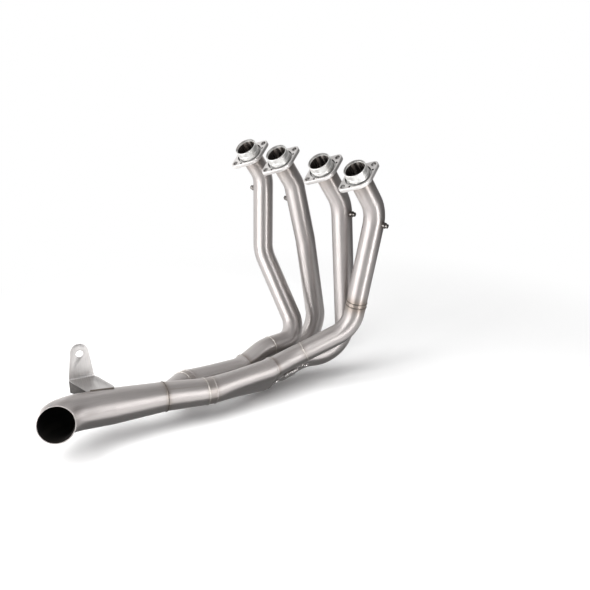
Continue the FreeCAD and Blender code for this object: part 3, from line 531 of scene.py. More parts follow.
def plate_steel():
    """Flange plate: pale, finely blasted faces with a faint cloudiness, and painted shade in the gap round
    the collar and in the holes.
    """
    material, tree, shader, straight = metal("plate_steel")
    base = shaded(tuple(colours().machined), 1.14)
    cloud = grain(tree, straight, (70, 70, 70), 4.0)
    fine = grain(tree, straight, (2200, 2200, 2200), 2.0)
    tone = tinted(tree, spread(tree, cloud, 0, 1, 0.3, 0.75), shaded(base, 1.03), shaded(base, 0.92))
    # Painted shade in the gap round the collar and in the stud and locating holes.
    for spot, radius, share in FLANGE_PAINTED_SHADE:
        tone = tinted(tree, inside_circle(tree, straight, spot, radius), tone, shaded(base, share))
    tree.links.new(tone, shader.inputs["Base Color"])
    tree.links.new(spread(tree, cloud, 0.4, 0.52), shader.inputs["Roughness"])
    bump = node(tree, "ShaderNodeBump", {"Strength": 0.15, "Distance": 0.00012, "Height": fine})
    tree.links.new(bump.outputs["Normal"], shader.inputs["Normal"])
    return material


def bead_metal(name, base, stain):
    """Weld bead of a base colour, stained in patches by a share."""
    material, tree, shader, straight = metal(name)
    cloud = grain(tree, straight, (240, 240, 240), 4.0)
    tone = tinted(tree, spread(tree, cloud, 0, stain, 0.35, 0.7), base, tuple(colours().tint))
    tree.links.new(tone, shader.inputs["Base Color"])
    tree.links.new(spread(tree, cloud, 0.28, 0.42), shader.inputs["Roughness"])
    return material


def weld_metal():
    """Bright weld bead."""
    return bead_metal("weld_metal", tuple(colours().bead), 0.3)


def dull_weld():
    """Weld bead dressed back nearly to the tube."""
    return bead_metal("dull_weld", tuple(colours().tube), 0.15)


def dark_weld():
    """Burnt weld bead."""
    return bead_metal("dark_weld", shaded(tuple(colours().bead), 0.28), 0.6)


def spring_wire():
    """Bright drawn wire with a little oily darkening."""
    material, tree, shader, straight = metal("spring_wire")
    base = tuple(colours().wire)
    cloud = grain(tree, straight, (300, 300, 300), 3.0)
    tone = tinted(tree, spread(tree, cloud, 0, 1, 0.35, 0.75), base, shaded(base, 0.5))
    tree.links.new(tone, shader.inputs["Base Color"])
    tree.links.new(spread(tree, cloud, 0.16, 0.3), shader.inputs["Roughness"])
    return material


def bracket_sheet():
    """Sheet of the bracket: brushed up its height, with cloudy stains and a heat tint where a heat ring
    reaches it.
    """
    material, tree, shader, straight = metal("bracket_sheet")
    base = tuple(colours().sheet)
    streaks = grain(tree, straight, (30, 900, 40), 4.0)
    cloud = grain(tree, straight, (60, 60, 60), 4.0)
    tone = tinted(tree, spread(tree, streaks, 0, 1, 0.3, 0.7), shaded(base, 0.86), shaded(base, 1.1))
    tone = tinted(tree, spread(tree, cloud, 0, 0.5, 0.4, 0.8), tone, shaded(base, 0.72))
    tint_and_shade = node(tree, "ShaderNodeAttribute", attribute_name="heat_tint_and_shade").outputs["Fac"]
    tone = tinted(tree, spread(tree, tint_and_shade, 0, 0.6), tone, tuple(colours().tint))
    tree.links.new(tone, shader.inputs["Base Color"])
    tree.links.new(spread(tree, streaks, 0.3, 0.42), shader.inputs["Roughness"])
    bump = node(tree, "ShaderNodeBump", {"Strength": 0.15, "Distance": 0.00015, "Height": streaks})
    tree.links.new(bump.outputs["Normal"], shader.inputs["Normal"])
    return material


def painted_shade_sheet():
    """Gusset under the bracket: dull sheet, painted nearly black as the shade under the bracket's base."""
    material, tree, shader, straight = metal("painted_shade_sheet", 0.4)
    base = shaded(tuple(colours().bore_shade), 0.8)
    cloud = grain(tree, straight, (200, 200, 200), 4.0)
    tone = tinted(tree, spread(tree, cloud, 0, 1, 0.35, 0.7), shaded(base, 0.6), shaded(base, 1.5))
    tree.links.new(tone, shader.inputs["Base Color"])
    shader.inputs["Roughness"].default_value = 0.6
    return material


def plug_dark():
    """Test port plugs and bosses: darker turned steel with brown stains."""
    material, tree, shader, straight = metal("plug_dark")
    base = tuple(colours().plug)
    cloud = grain(tree, straight, (400, 400, 400), 4.0)
    tone = tinted(tree, spread(tree, cloud, 0, 1, 0.35, 0.7), base, shaded(base, 0.35))
    tree.links.new(tone, shader.inputs["Base Color"])
    tree.links.new(spread(tree, cloud, 0.22, 0.4), shader.inputs["Roughness"])
    return material


FINISHES = {
    "satin_steel": satin_steel,
    "painted_shade_bore": painted_shade_bore,
    "painted_shade_port_bore": painted_shade_port_bore,
    "machined_steel": machined_steel,
    "plate_steel": plate_steel,
    "weld_metal": weld_metal,
    "dull_weld": dull_weld,
    "dark_weld": dark_weld,
    "spring_wire": spring_wire,
    "bracket_sheet": bracket_sheet,
    "painted_shade_sheet": painted_shade_sheet,
    "plug_dark": plug_dark,
}


def finish_of(name):
    """Material of that finish, made the first time it is asked for."""
    return bpy.data.materials.get(name) or FINISHES[name]()


# Modelling steps shared by the pieces


def start_ring(name, place, radius, sides):
    """Circle square to the frame's axis, all selected in edit mode."""
    bpy.ops.object.select_all(action="DESELECT")
    bpy.ops.mesh.primitive_circle_add(
        vertices=sides, radius=radius, location=place.translation, rotation=place.to_euler()
    )
    piece = bpy.context.object
    piece.name = name
    piece.data.name = name
    bpy.ops.object.mode_set(mode="EDIT")
    bpy.ops.mesh.select_all(action="SELECT")
    return piece


def push_ring(step):
    """Extrudes the selected ring along a vector."""
    bpy.ops.mesh.extrude_region_move(TRANSFORM_OT_translate={"value": step, "orient_type": "GLOBAL"})


def seated(piece):
    """Leaves edit mode and puts the piece's place into its mesh."""
    if bpy.context.mode != "OBJECT":
        bpy.ops.object.mode_set(mode="OBJECT")
    bpy.ops.object.select_all(action="DESELECT")
    piece.select_set(True)
    bpy.context.view_layer.objects.active = piece
    bpy.ops.object.transform_apply(location=True, rotation=True, scale=True)
    return piece


def worked(piece, kind, name, **settings):
    """Adds a modifier and applies it."""
    modifier = piece.modifiers.new(name, kind)
    for key, value in settings.items():
        setattr(modifier, key, value)
    bpy.context.view_layer.objects.active = piece
    bpy.ops.object.modifier_apply(modifier=name)


def rounded(piece, width, limit=35.0, segments=2):
    """Rounds every edge sharper than a limit."""
    limits = {"limit_method": "ANGLE", "angle_limit": math.radians(limit)}
    worked(piece, "BEVEL", "rounding", width=width, segments=segments, **limits)


def smoothed(piece, limit=32.0):
    bpy.ops.object.select_all(action="DESELECT")
    piece.select_set(True)
    bpy.context.view_layer.objects.active = piece
    bpy.ops.object.shade_smooth_by_angle(angle=math.radians(limit))


def points_of(mesh):
    spots = np.zeros(len(mesh.vertices) * 3)
    mesh.vertices.foreach_get("co", spots)
    return spots.reshape(-1, 3)


def mark_straight(piece, places, lengths):
    """Stores each point as seen from its nearest frame: across, across and along."""
    spots = points_of(piece.data)
    bases = np.array([place.translation for place in places])
    turns = np.array([place.to_3x3() for place in places])
    nearest = np.zeros(len(spots), int)
    best = np.full(len(spots), np.inf)
    for index, base in enumerate(bases):
        distance = ((spots - base) ** 2).sum(1)
        closer = distance < best - 1e-12
        nearest[closer] = index
        best[closer] = distance[closer]
    local = np.einsum("ij,ijk->ik", spots - bases[nearest], turns[nearest])
    local[:, 2] += np.array(lengths)[nearest]
    for name, values in (("straight", local), ("heading", turns[nearest][:, :, 2])):
        layer = piece.data.attributes.new(name, "FLOAT_VECTOR", "POINT")
        layer.data.foreach_set("vector", values.astype(np.float32).ravel())


def mark_tint_and_shade(piece):
    """Stores how much heat tint, and painted shade at the collectors' mouths, each point carries."""
    spots = points_of(piece.data)
    tint_and_shade = np.zeros(len(spots))
    for place, limit, (reach, share) in tint_and_shade_rings():
        offset = spots - np.array(place.translation)
        axis = np.array(place.to_3x3().col[2])
        along = offset @ axis
        out = np.linalg.norm(offset - np.outer(along, axis), axis=1)
        near = out < limit * MM
        tint_and_shade = np.maximum(tint_and_shade, share * near * np.exp(-((along / (reach * MM)) ** 2)))
    for number in CYLINDERS:
        reach, share = BOSS_HEAT
        foot = shifted(test_port_frame(number), pipe_radius()).translation
        distance = np.linalg.norm(spots - np.array(foot), axis=1)
        tint_and_shade = np.maximum(tint_and_shade, share * np.exp(-((distance / (reach * MM)) ** 2)))
    layer = piece.data.attributes.new("heat_tint_and_shade", "FLOAT", "POINT")
    layer.data.foreach_set("value", tint_and_shade.astype(np.float32))


def dressed(piece, nodes, finish=None):
    """Gives a finished piece its body and replaced nodes, and its finish if it has none yet."""
    if finish:
        piece.data.materials.append(finish_of(finish))
    mark_tint_and_shade(piece)
    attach(piece, "root")
    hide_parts(*nodes)
    return piece


def route_parts(corners, radii):
    """Straights and bends of a route, as vectors, or as centre, axis and angle."""
    spots = [Vector(corner) * MM for corner in corners]
    parts = []
    here = spots[0]
    for before, corner, after, radius in zip(spots, spots[1:], spots[2:], radii):
        back = (before - corner).normalized()
        ahead = (after - corner).normalized()
        turn = math.pi - back.angle(ahead)
        reach = radius * MM * math.tan(turn / 2)
        bend_start = corner + back * reach
        parts.append(("straight", bend_start - here, None, None))
        centre = corner + (back + ahead).normalized() * (radius * MM / math.cos(turn / 2))
        axis = (-back).cross(ahead).normalized()
        parts.append(("bend", centre, axis, turn))
        here = corner + ahead * reach
    parts.append(("straight", spots[-1] - here, None, None))
    return parts


def route_stations(corners, radii):
    """Frames along a route and the distance of each from its start."""
    spot = Vector(corners[0]) * MM
    heading = (Vector(corners[1]) - Vector(corners[0])).normalized()
    sideways = heading.orthogonal()
    place = square_frame(spot / MM, heading, sideways)
    places = [place]
    lengths = [0.0]
    for kind, first, axis, turn in route_parts(corners, radii):
        if kind == "straight":
            count = station_count(first)
            for _ in range(count):
                place = Matrix.Translation(first / count) @ place
                places.append(place)
                lengths.append(lengths[-1] + first.length / count)
        else:
            count = bend_steps(turn)
            spun = Matrix.Rotation(turn / count, 4, axis)
            step = Matrix.Translation(first) @ spun @ Matrix.Translation(-first)
            radius = (place.translation - first).length
            for _ in range(count):
                place = step @ place
                places.append(place)
                lengths.append(lengths[-1] + radius * turn / count)
    return places, lengths


def station_count(straight):
    return max(1, round(straight.length / (STATION * MM)))


def bend_steps(turn):
    return max(4, round(math.degrees(turn) / BEND_STEP))


def bent_pipe(name, radius, wall, finishes):
    """Pipe drawn along its run: a ring pushed down the straights and spun round the bends."""
    corners, radii = PIPE_RUNS[name]
    places, lengths = route_stations(corners, radii)
    piece = start_ring(name + "_skin", places[0], radius, sizes().pipe_sides)
    for kind, first, axis, turn in route_parts(corners, radii):
        if kind == "straight":
            count = station_count(first)
            for _ in range(count):
                push_ring(first / count)
        else:
            bpy.ops.mesh.spin(steps=bend_steps(turn), angle=-turn, center=first, axis=axis)
    seated(piece)
    face_outward(piece, places)
    for finish in finishes:
        piece.data.materials.append(finish_of(finish))
    worked(piece, "SOLIDIFY", "wall", thickness=wall, offset=-1, material_offset=1, use_rim=True)
    mark_straight(piece, places, lengths)
    smoothed(piece)
    return piece


def face_outward(piece, places):
    """Turns the faces of an open pipe so that they look away from its middle line."""
    bases = np.array([place.translation for place in places])
    face = piece.data.polygons[len(piece.data.polygons) // 2]
    nearest = bases[((bases - np.array(face.center)) ** 2).sum(1).argmin()]
    if face.normal.dot(face.center - Vector(nearest)) < 0:
        bpy.ops.object.mode_set(mode="EDIT")
        bpy.ops.mesh.select_all(action="SELECT")
        bpy.ops.mesh.flip_normals()
        bpy.ops.object.mode_set(mode="OBJECT")


def turned_ring(name, place, outline, sides=PIPE_SIDES):
    """Closed section of radius and height in millimetres, turned about the frame's axis."""
    radius, height = outline[0]
    piece = start_ring(name, shifted(place, height), radius * MM, sides)
    axis = place.to_3x3().col[2]
    for (before, low), (after, high) in zip(outline, outline[1:] + outline[:1]):
        push_ring(axis * ((high - low) * MM))
        share = after / before
        centre = shifted(place, high).translation
        bpy.ops.transform.resize(value=(share, share, share), center_override=centre)
    bpy.ops.mesh.select_all(action="SELECT")
    bpy.ops.mesh.remove_doubles(threshold=TURNED_MERGE)
    bpy.ops.mesh.normals_make_consistent(inside=False)
    seated(piece)
    mark_straight(piece, [place], [0.0])
    return piece


def oval_spots(radius):
    """Points round two pipes side by side, in millimetres: an arc, a flat, an arc and a flat."""
    spots = []
    for end in (1, -1):
        for column in range(ARC_COLUMNS):
            angle = math.pi * (column / ARC_COLUMNS - 0.5)
            spots.append((end * (PAIR_HALF + radius * math.cos(angle)), end * radius * math.sin(angle)))
        for column in range(FLAT_COLUMNS):
            spots.append((end * PAIR_HALF * (1 - 2 * column / FLAT_COLUMNS), end * radius))
    return spots


def circle_spots(radius):
    """Points of a circle that answer to those of the oval."""
    corner = math.atan2(radius, PAIR_HALF)
    spots = []
    for end in (0, math.pi):
        for count, first, last in (
            (ARC_COLUMNS, end - corner, end + corner),
            (FLAT_COLUMNS, end + corner, end + math.pi - corner),
        ):
            for column in range(count):
                angle = first + (last - first) * column / count
                spots.append((radius * math.cos(angle), radius * math.sin(angle)))
    return spots


def placed(place, spots):
    """Outline points in the frame, as rows of metres."""
    return np.array([place @ Vector((x * MM, y * MM, 0)) for x, y in spots])


def merge_rows(side):
    """Rows of points from a collector's rim to its round end, and the frame of each row."""
    mouth, ring = mouth_frame(side), secondary_frame(side)
    rows = []
    for height, radius in MOUTH_ROWS:
        place = shifted(mouth, height)
        rows.append((place, placed(place, oval_spots(radius))))
    deep = shifted(mouth, MOUTH_LENGTH)
    start = placed(deep, oval_spots(MERGE_RADIUS))
    end = placed(ring, circle_spots(SECONDARY_RADIUS))
    for step in range(MERGE_STEPS + 1):
        share = step / MERGE_STEPS
        base = deep.translation.lerp(ring.translation, share)
        axis = Vector(deep.col[2][:3]).lerp(Vector(ring.col[2][:3]), share)
        place = square_frame(base / MM, axis, PAIR_LEAN)
        rows.append((place, start * (1 - share) + end * share))
    return rows


def merge_skin(side):
    """Two-into-one collector: a ring pushed row by row, then fitted to its oval and round sections."""
    rows = merge_rows(side)
    sides = 2 * (ARC_COLUMNS + FLAT_COLUMNS)
    lift = 10 * MM
    piece = start_ring("merge_" + side, Matrix(), MERGE_RADIUS * MM, sides)
    for _ in rows[1:]:
        push_ring((0, 0, lift))
    seated(piece)
    spots = points_of(piece.data)
    level = np.rint(spots[:, 2] / lift).astype(int)
    column = np.rint(np.arctan2(spots[:, 1], spots[:, 0]) * sides / (2 * math.pi)).astype(int) % sides
    table = np.array([points for _, points in rows])
    piece.data.vertices.foreach_set("co", table[level, column].ravel())
    piece.data.update()
    places = [place for place, _ in rows]
    face_outward(piece, places)
    worked(piece, "SOLIDIFY", "wall", thickness=SECONDARY_WALL * MM, offset=-1, use_rim=True)
    mark_straight(piece, places, [0.0] * len(places))
    smoothed(piece)
    return piece


def traced(name, source, place, width, limit=35.0):
    """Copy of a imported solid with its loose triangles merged, its flats cleared and its edges rounded."""
    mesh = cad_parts[source].data.copy()
    mesh.materials.clear()
    piece = bpy.data.objects.new(name, mesh)
    bpy.context.scene.collection.objects.link(piece)
    bpy.ops.object.select_all(action="DESELECT")
    piece.select_set(True)
    bpy.context.view_layer.objects.active = piece
    bpy.ops.object.mode_set(mode="EDIT")
    bpy.ops.mesh.select_all(action="SELECT")
    bpy.ops.mesh.remove_doubles(threshold=SOLID_MERGE)
    if width:
        bpy.ops.mesh.dissolve_limited(angle_limit=math.radians(FLAT_ANGLE))
    bpy.ops.object.mode_set(mode="OBJECT")
    if width:
        rounded(piece, width, limit)
    mark_straight(piece, [place], [0.0])
    smoothed(piece)
    return piece


# Places of the welds


def test_port_frame(number):
    """Frame of a test port: origin on the pipe's axis, local Z out through the wall."""
    name, distance, facing = TEST_PORTS[number]
    places, lengths = route_stations(*PIPE_RUNS[name])
    index = int(np.abs(np.array(lengths) - distance * MM).argmin())
    heading = places[index].to_3x3().col[2]
    spot = places[index].translation + heading * (distance * MM - lengths[index])
    angle = math.radians(facing)
    outward = Vector((math.cos(angle), math.sin(angle), 0))
    outward -= heading * outward.dot(heading)
    return square_frame(spot / MM, outward, heading)


def joint_frame(name, distance=0.0):
    """Frame at the end of a pipe piece, moved along its last straight."""
    corners = PIPE_RUNS[name][0]
    heading = Vector(corners[-1]) - Vector(corners[-2])
    return shifted(square_frame(corners[-1], heading, UP), distance)


def weld_places():
    """Frame and pipe radius in millimetres of each weld bead, by node."""
    radius = pipe_radius()
    cone_radius = FINAL_RADIUS + (TAIL_RADIUS - FINAL_RADIUS) * BEAD / TAIL_LENGTH
    places = {
        "weld_1": (joint_frame("primary_1_upper"), radius),
        "weld_4_upper_a": (joint_frame("primary_4_upper", -DOUBLE_BEAD / 2), radius),
        "weld_4_upper_b": (joint_frame("primary_4_upper", DOUBLE_BEAD / 2), radius),
        "weld_4_lower": (joint_frame("primary_4_middle"), radius),
        "weld_final": (shifted(TAIL, BEAD), cone_radius),
    }
    for side in SIDES:
        start = secondary_frame(side)
        places["weld_" + side + "_front"] = (shifted(start, BEAD), SECONDARY_RADIUS)
        places["weld_" + side + "_rear"] = (shifted(start, SECONDARY_LENGTH - BEAD), SECONDARY_RADIUS)
    return places


def tint_and_shade_rings():
    """Frame, widest radius, and reach and strength of the heat tint round each weld and port, and of the
    painted shade round each mouth.
    """
    rings = []
    for name, (place, radius) in weld_places().items():
        rings.append((place, radius * WELD_HEAT_WIDTH, BURNT_WELDS.get(name, WELD_HEAT)))
    for number in CYLINDERS:
        rings.append((port_frame(number, -FLANGE_THICKNESS), pipe_radius() + PORT_HEAT_WIDTH, PORT_HEAT))
        # Painted shade on the pipe where it goes into the collector's mouth.
        rings.append((inlet_frame(number, MOUTH_SHADE_PLACE), pipe_radius() + PIPE_CLEARANCE, MOUTH_PAINTED_SHADE))
    return rings


# Operators, one for each piece or group of like pieces


class HEADER_OT_primary_pipes(Operator):
    """Draw the four primary pipes along their runs"""

    bl_idname = "header.primary_pipes"
    bl_label = "Primary Pipes"

    def execute(self, context):
        for name in PIPE_RUNS:
            if name.startswith("primary"):
                piece = bent_pipe(name, sizes().pipe_radius, sizes().pipe_wall, ("satin_steel", "painted_shade_port_bore"))
                dressed(piece, [name])
        return {"FINISHED"}


class HEADER_OT_tail_pipe(Operator):
    """Turn the tail cone and draw the bent outlet pipe"""

    bl_idname = "header.tail_pipe"
    bl_label = "Tail Pipe"

    def execute(self, context):
        elbow = bent_pipe("tail_elbow", sizes().tail_radius, sizes().tail_wall, ("satin_steel", "painted_shade_bore"))
        dressed(elbow, ["tail_elbow"])
        wall = sizes().tail_wall / MM
        flare = sizes().tail_radius / MM - FINAL_RADIUS
        outside = []
        for step in range(CONE_STEPS + 1):
            share = step / CONE_STEPS
            outside.append((FINAL_RADIUS + flare * share, TAIL_LENGTH * share))
        inner = [(FINAL_RADIUS + flare - wall, TAIL_LENGTH), (FINAL_RADIUS - wall, 0.0)]
        cone = turned_ring("tail_cone_skin", TAIL, outside + inner)
        smoothed(cone)
        dressed(cone, ["tail_cone"], "satin_steel")
        return {"FINISHED"}


class HEADER_OT_port_collars(Operator):
    """Turn the stepped collar on each port"""

    bl_idname = "header.port_collars"
    bl_label = "Port Collars"

    def execute(self, context):
        bore = pipe_bore()
        shoulder = pipe_radius() + SHOULDER_PROUD
        spigot = pipe_radius() + SPIGOT_PROUD
        rim = pipe_radius() + RIM_PROUD
        lip = rim - RIM_WALL
        ledge = SPIGOT_HEIGHT - RIM_LEDGE
        outline = [
            (bore, -RECESS_DEPTH),
            (shoulder, -RECESS_DEPTH),
            (shoulder, SHOULDER_HEIGHT - RECESS_DEPTH),
            (spigot, SHOULDER_HEIGHT - RECESS_DEPTH),
            (spigot, SPIGOT_STEP),
            (rim, SPIGOT_STEP + SPIGOT_PROUD - RIM_PROUD),
            (rim, SPIGOT_HEIGHT - RIM_WALL / 2),
            (rim - RIM_WALL / 2, SPIGOT_HEIGHT),
            (lip, SPIGOT_HEIGHT),
            (lip, ledge),
            (bore, ledge),
        ]
        for number in CYLINDERS:
            collar = turned_ring("collar_%d" % number, port_frame(number), outline, COLLAR_SIDES)
            rounded(collar, ROUNDING["collar"] * MM)
            smoothed(collar)
            dressed(collar, ["port_collar_%d" % number], "machined_steel")
            # Painted shade on the collar's bore.
            darken_inside(collar, port_frame(number), (bore + lip) / 2, ledge - RIM_WALL)
        return {"FINISHED"}


def darken_inside(piece, place, radius, height):
    """Gives the bore's painted shade to the faces within a radius and below a height of the frame."""
    piece.data.materials.append(finish_of("painted_shade_port_bore"))
    inward = place.inverted()
    for face in piece.data.polygons:
        spot = inward @ face.center
        if spot.xy.length < radius * MM and spot.z < height * MM:
            face.material_index = 1


class HEADER_OT_head_flanges(Operator):
    """Dress the two-bolt flange on each port"""

    bl_idname = "header.head_flanges"
    bl_label = "Head Flanges"

    def execute(self, context):
        for number in CYLINDERS:
            place = port_frame(number) @ Matrix.Rotation(math.radians(FLANGE_TURN), 4, "Z")
            flange = traced("flange_%d" % number, "head_flange_%d" % number, place, sizes().edge_round)
            dressed(flange, ["head_flange_%d" % number], "plate_steel")
        return {"FINISHED"}


class HEADER_OT_collectors(Operator):
    """Model the two merge collectors, their mouth plates, the secondary pipes and the final collector"""

    bl_idname = "header.collectors"
    bl_label = "Collectors"

    def execute(self, context):
        radius = SECONDARY_RADIUS
        bore = radius - SECONDARY_WALL
        outline = [(radius, 0.0), (radius, SECONDARY_LENGTH), (bore, SECONDARY_LENGTH), (bore, 0.0)]
        for side in SIDES:
            dressed(merge_skin(side), ["merge_collector_" + side], "satin_steel")
            plate = traced("mouth_cover_" + side, "mouth_plate_" + side, mouth_frame(side), 0)
            dressed(plate, ["mouth_plate_" + side], "satin_steel")
            ring = turned_ring("secondary_" + side, secondary_frame(side), outline)
            smoothed(ring)
            dressed(ring, ["secondary_pipe_" + side], "satin_steel")
        final = traced("final_merge", "final_collector", TAIL, 0)
        dressed(final, ["final_collector"], "satin_steel")
        return {"FINISHED"}


class HEADER_OT_weld_beads(Operator):
    """Lay a rippled bead along every welded joint"""

    bl_idname = "header.weld_beads"
    bl_label = "Weld Beads"

    def execute(self, context):
        for name, (place, radius) in weld_places().items():
            bpy.ops.object.select_all(action="DESELECT")
            bpy.ops.mesh.primitive_torus_add(
                major_segments=BEAD_LENGTHS,
                minor_segments=BEAD_SIDES,
                major_radius=radius * MM,
                minor_radius=BEAD * MM,
                location=place.translation,
                rotation=place.to_euler(),
            )
            bead = seated(bpy.context.object)
            bead.name = name + "_bead"
            ripple(bead, place, radius * MM)
            mark_straight(bead, [place], [0.0])
            smoothed(bead, limit=60.0)
            if name in BURNT_WELDS:
                finish = "dark_weld"
            elif name.endswith("_front"):
                finish = "dull_weld"
            else:
                finish = "weld_metal"
            dressed(bead, [name], finish)
        foot = traced("bracket_bead", "bracket_weld", BRACKET, 0)
        dressed(foot, ["bracket_weld"], "dark_weld")
        return {"FINISHED"}


def ripple(bead, place, radius):
    """Scallops along a bead that dip below its round crown, deeper and shallower in slow waves round it."""
    spots = points_of(bead.data)
    turn = np.array(place.to_3x3())
    local = (spots - np.array(place.translation)) @ turn
    angle = np.arctan2(local[:, 1], local[:, 0])
    count = round(2 * math.pi * radius / (RIPPLE_PITCH * MM))
    wave = np.abs(np.sin(angle * count / 2))
    middle = np.stack([np.cos(angle) * radius, np.sin(angle) * radius, np.zeros(len(angle))], 1)
    away = local - middle
    slow = np.abs(np.sin(angle * SLOW_WAVES / 2))
    depth = sizes().bead_ripple * (1 - wave + SLOW_SHARE * slow)
    share = 1 - depth / (BEAD * MM)
    local = middle + away * share[:, None]
    bead.data.vertices.foreach_set("co", (local @ turn.T + np.array(place.translation)).ravel())
    bead.data.update()


class HEADER_OT_test_ports(Operator):
    """Dress the boss and hexagon plug of each test port"""

    bl_idname = "header.test_ports"
    bl_label = "Test Ports"

    def execute(self, context):
        for number in CYLINDERS:
            place = test_port_frame(number)
            for kind in ("boss", "plug"):
                source = "test_port_%s_%d" % (kind, number)
                piece = traced("%s_%d" % (kind, number), source, place, ROUNDING[kind] * MM)
                dressed(piece, [source], "plug_dark")
        return {"FINISHED"}


class HEADER_OT_slip_joint(Operator):
    """Turn the socket of the slip joint and dress its hooks and springs"""

    bl_idname = "header.slip_joint"
    bl_label = "Slip Joint"

    def execute(self, context):
        bore = pipe_bore()
        neck = pipe_radius()
        fit = neck + SLIP_CLEARANCE
        outer = fit + SOCKET_WALL
        flare_start = SOCKET_LENGTH - SOCKET_FLARE
        neck_end = flare_start - SOCKET_TAPER
        outline = [
            (bore, -MOUTH_INSERTION),
            (neck, -MOUTH_INSERTION),
            (neck, neck_end),
            (outer, flare_start),
            (outer, SOCKET_LENGTH),
            (fit, SOCKET_LENGTH),
            (fit, flare_start),
            (bore, neck_end),
        ]
        socket = turned_ring("slip_socket", SLIP, outline)
        rounded(socket, ROUNDING["socket"] * MM, limit=60.0)
        smoothed(socket)
        dressed(socket, ["slip_joint_socket"], "satin_steel")
        for end in SPRINGS:
            for kind in ("pipe_hook_", "socket_hook_"):
                hook = traced(kind + end + "_bar", kind + end, SLIP, ROUNDING["hook"] * MM)
                dressed(hook, [kind + end], "spring_wire")
            spring = traced("spring_" + end, "slip_spring_" + end, SLIP, 0)
            dressed(spring, ["slip_spring_" + end], "spring_wire")
        return {"FINISHED"}


class HEADER_OT_tail_bracket(Operator):
    """Dress the folded hanger bracket and its gusset"""

    bl_idname = "header.tail_bracket"
    bl_label = "Tail Bracket"

    def execute(self, context):
        bracket = traced("hanger_bracket", "tail_bracket", BRACKET, ROUNDING["bracket"] * MM)
        dressed(bracket, ["tail_bracket"], "bracket_sheet")
        # The gusset's near-black finish is painted shade.
        gusset = traced("hanger_gusset", "bracket_gusset", BRACKET, ROUNDING["gusset"] * MM)
        dressed(gusset, ["bracket_gusset"], "painted_shade_sheet")
        return {"FINISHED"}


# Floor, cards, lamps and camera

CAMERA_SPOT = Vector((1.057, -1.129, 0.338))
CAMERA_AHEAD = Vector((-0.6426, 0.6772, -0.3584))
CAMERA_RIGHT = Vector((0.7254, 0.6884, 0.0))
CAMERA_LENS = 52.54
STAGE_MIDDLE = Vector((0.0, -0.2, -0.22))
FLOOR_MIDDLE = (0.08, -0.05, CAD_LOW[2])
FLOOR_RADIUS = 2.2
FADE_START = 0.5
FADE_END = 0.95
SOFT_LIGHT = 0.5

# Cards: turn right of the camera and lift in degrees, distance, width and height in metres, strength.
CARDS = {
    "bright_card": (-52, -1.5, 0.85, 0.95, 0.4, 9.5),
    "wing_card": (-108, -1.5, 1.0, 1.1, 0.5, 1.8),
    "middle_card": (-20, -1.5, 0.8, 0.16, 0.4, 2.4),
    "slot_card": (55, 0, 0.85, 0.17, 0.45, 12.0),
    "high_card": (50, 22, 0.95, 1.0, 0.28, 2.0),
    "dark_card": (108, 0, 0.75, 1.05, 1.1, 0.15),
    "dim_card": (12, -4, 0.85, 0.95, 0.9, 0.06),
    "ceiling_card": (0, 90, 1.0, 3.0, 3.0, 0.6),
    "flange_card": (-133, 48, 0.9, 0.5, 0.5, 1.25),
}

# Card on the floor under the collectors: place, turn in degrees, width, height, strength.
UNDER_CARD = ((0.0, -0.24, CAD_LOW[2] + 2 * MM), -14, 0.17, 0.9, 0.25)

# Lamps: place, side of the square in metres, power in watts.
LAMPS = {
    "key_lamp": ((-0.25, -1.45, 0.85), 1.0, 18.0),
    "top_lamp": ((0.35, -0.75, 1.1), 1.6, 23.0),
}


def glow(name, colour, strength):
    """Plain emitting material of a card."""
    material = bpy.data.materials.new(name)
    material.use_nodes = True
    tree = material.node_tree
    tree.nodes.clear()
    emission = node(tree, "ShaderNodeEmission", {"Color": (*colour, 1.0), "Strength": strength})
    node(tree, "ShaderNodeOutputMaterial", {"Surface": emission.outputs["Emission"]})
    return material


def board(name, spot, rotation, width, height, strength):
    """Glowing card that only shows in reflections."""
    bpy.ops.object.select_all(action="DESELECT")
    bpy.ops.mesh.primitive_plane_add(size=1.0, location=spot, rotation=rotation)
    piece = bpy.context.object
    piece.name = name
    piece.scale = (width, height, 1)
    piece.data.materials.append(glow(name + "_glow", (1, 1, 1), strength))
    piece.visible_camera = False
    piece.visible_diffuse = False
    piece.visible_transmission = False
    piece.visible_shadow = False


def card(name, turn, lift, distance, width, height, strength):
    """Card at an angle right of the camera and a height angle, seen from the middle of the stage."""
    toward_camera = Vector((-CAMERA_AHEAD.x, -CAMERA_AHEAD.y, 0)).normalized()
    way = Matrix.Rotation(math.radians(turn), 3, "Z") @ toward_camera
    flat = math.cos(math.radians(lift))
    way = Vector((way.x * flat, way.y * flat, math.sin(math.radians(lift))))
    rotation = way.to_track_quat("Z", "Y").to_euler()
    board(name, STAGE_MIDDLE + way * distance, rotation, width, height, strength)


def lamp(name, spot, size, power):
    """Square soft lamp that looks at the middle of the stage."""
    light = bpy.data.lights.new(name, "AREA")
    light.shape = "SQUARE"
    light.size = size
    light.energy = power
    item = bpy.data.objects.new(name, light)
    item.location = spot
    item.rotation_euler = (Vector(spot) - STAGE_MIDDLE).to_track_quat("Z", "Y").to_euler()
    item.visible_glossy = False
    bpy.context.scene.collection.objects.link(item)


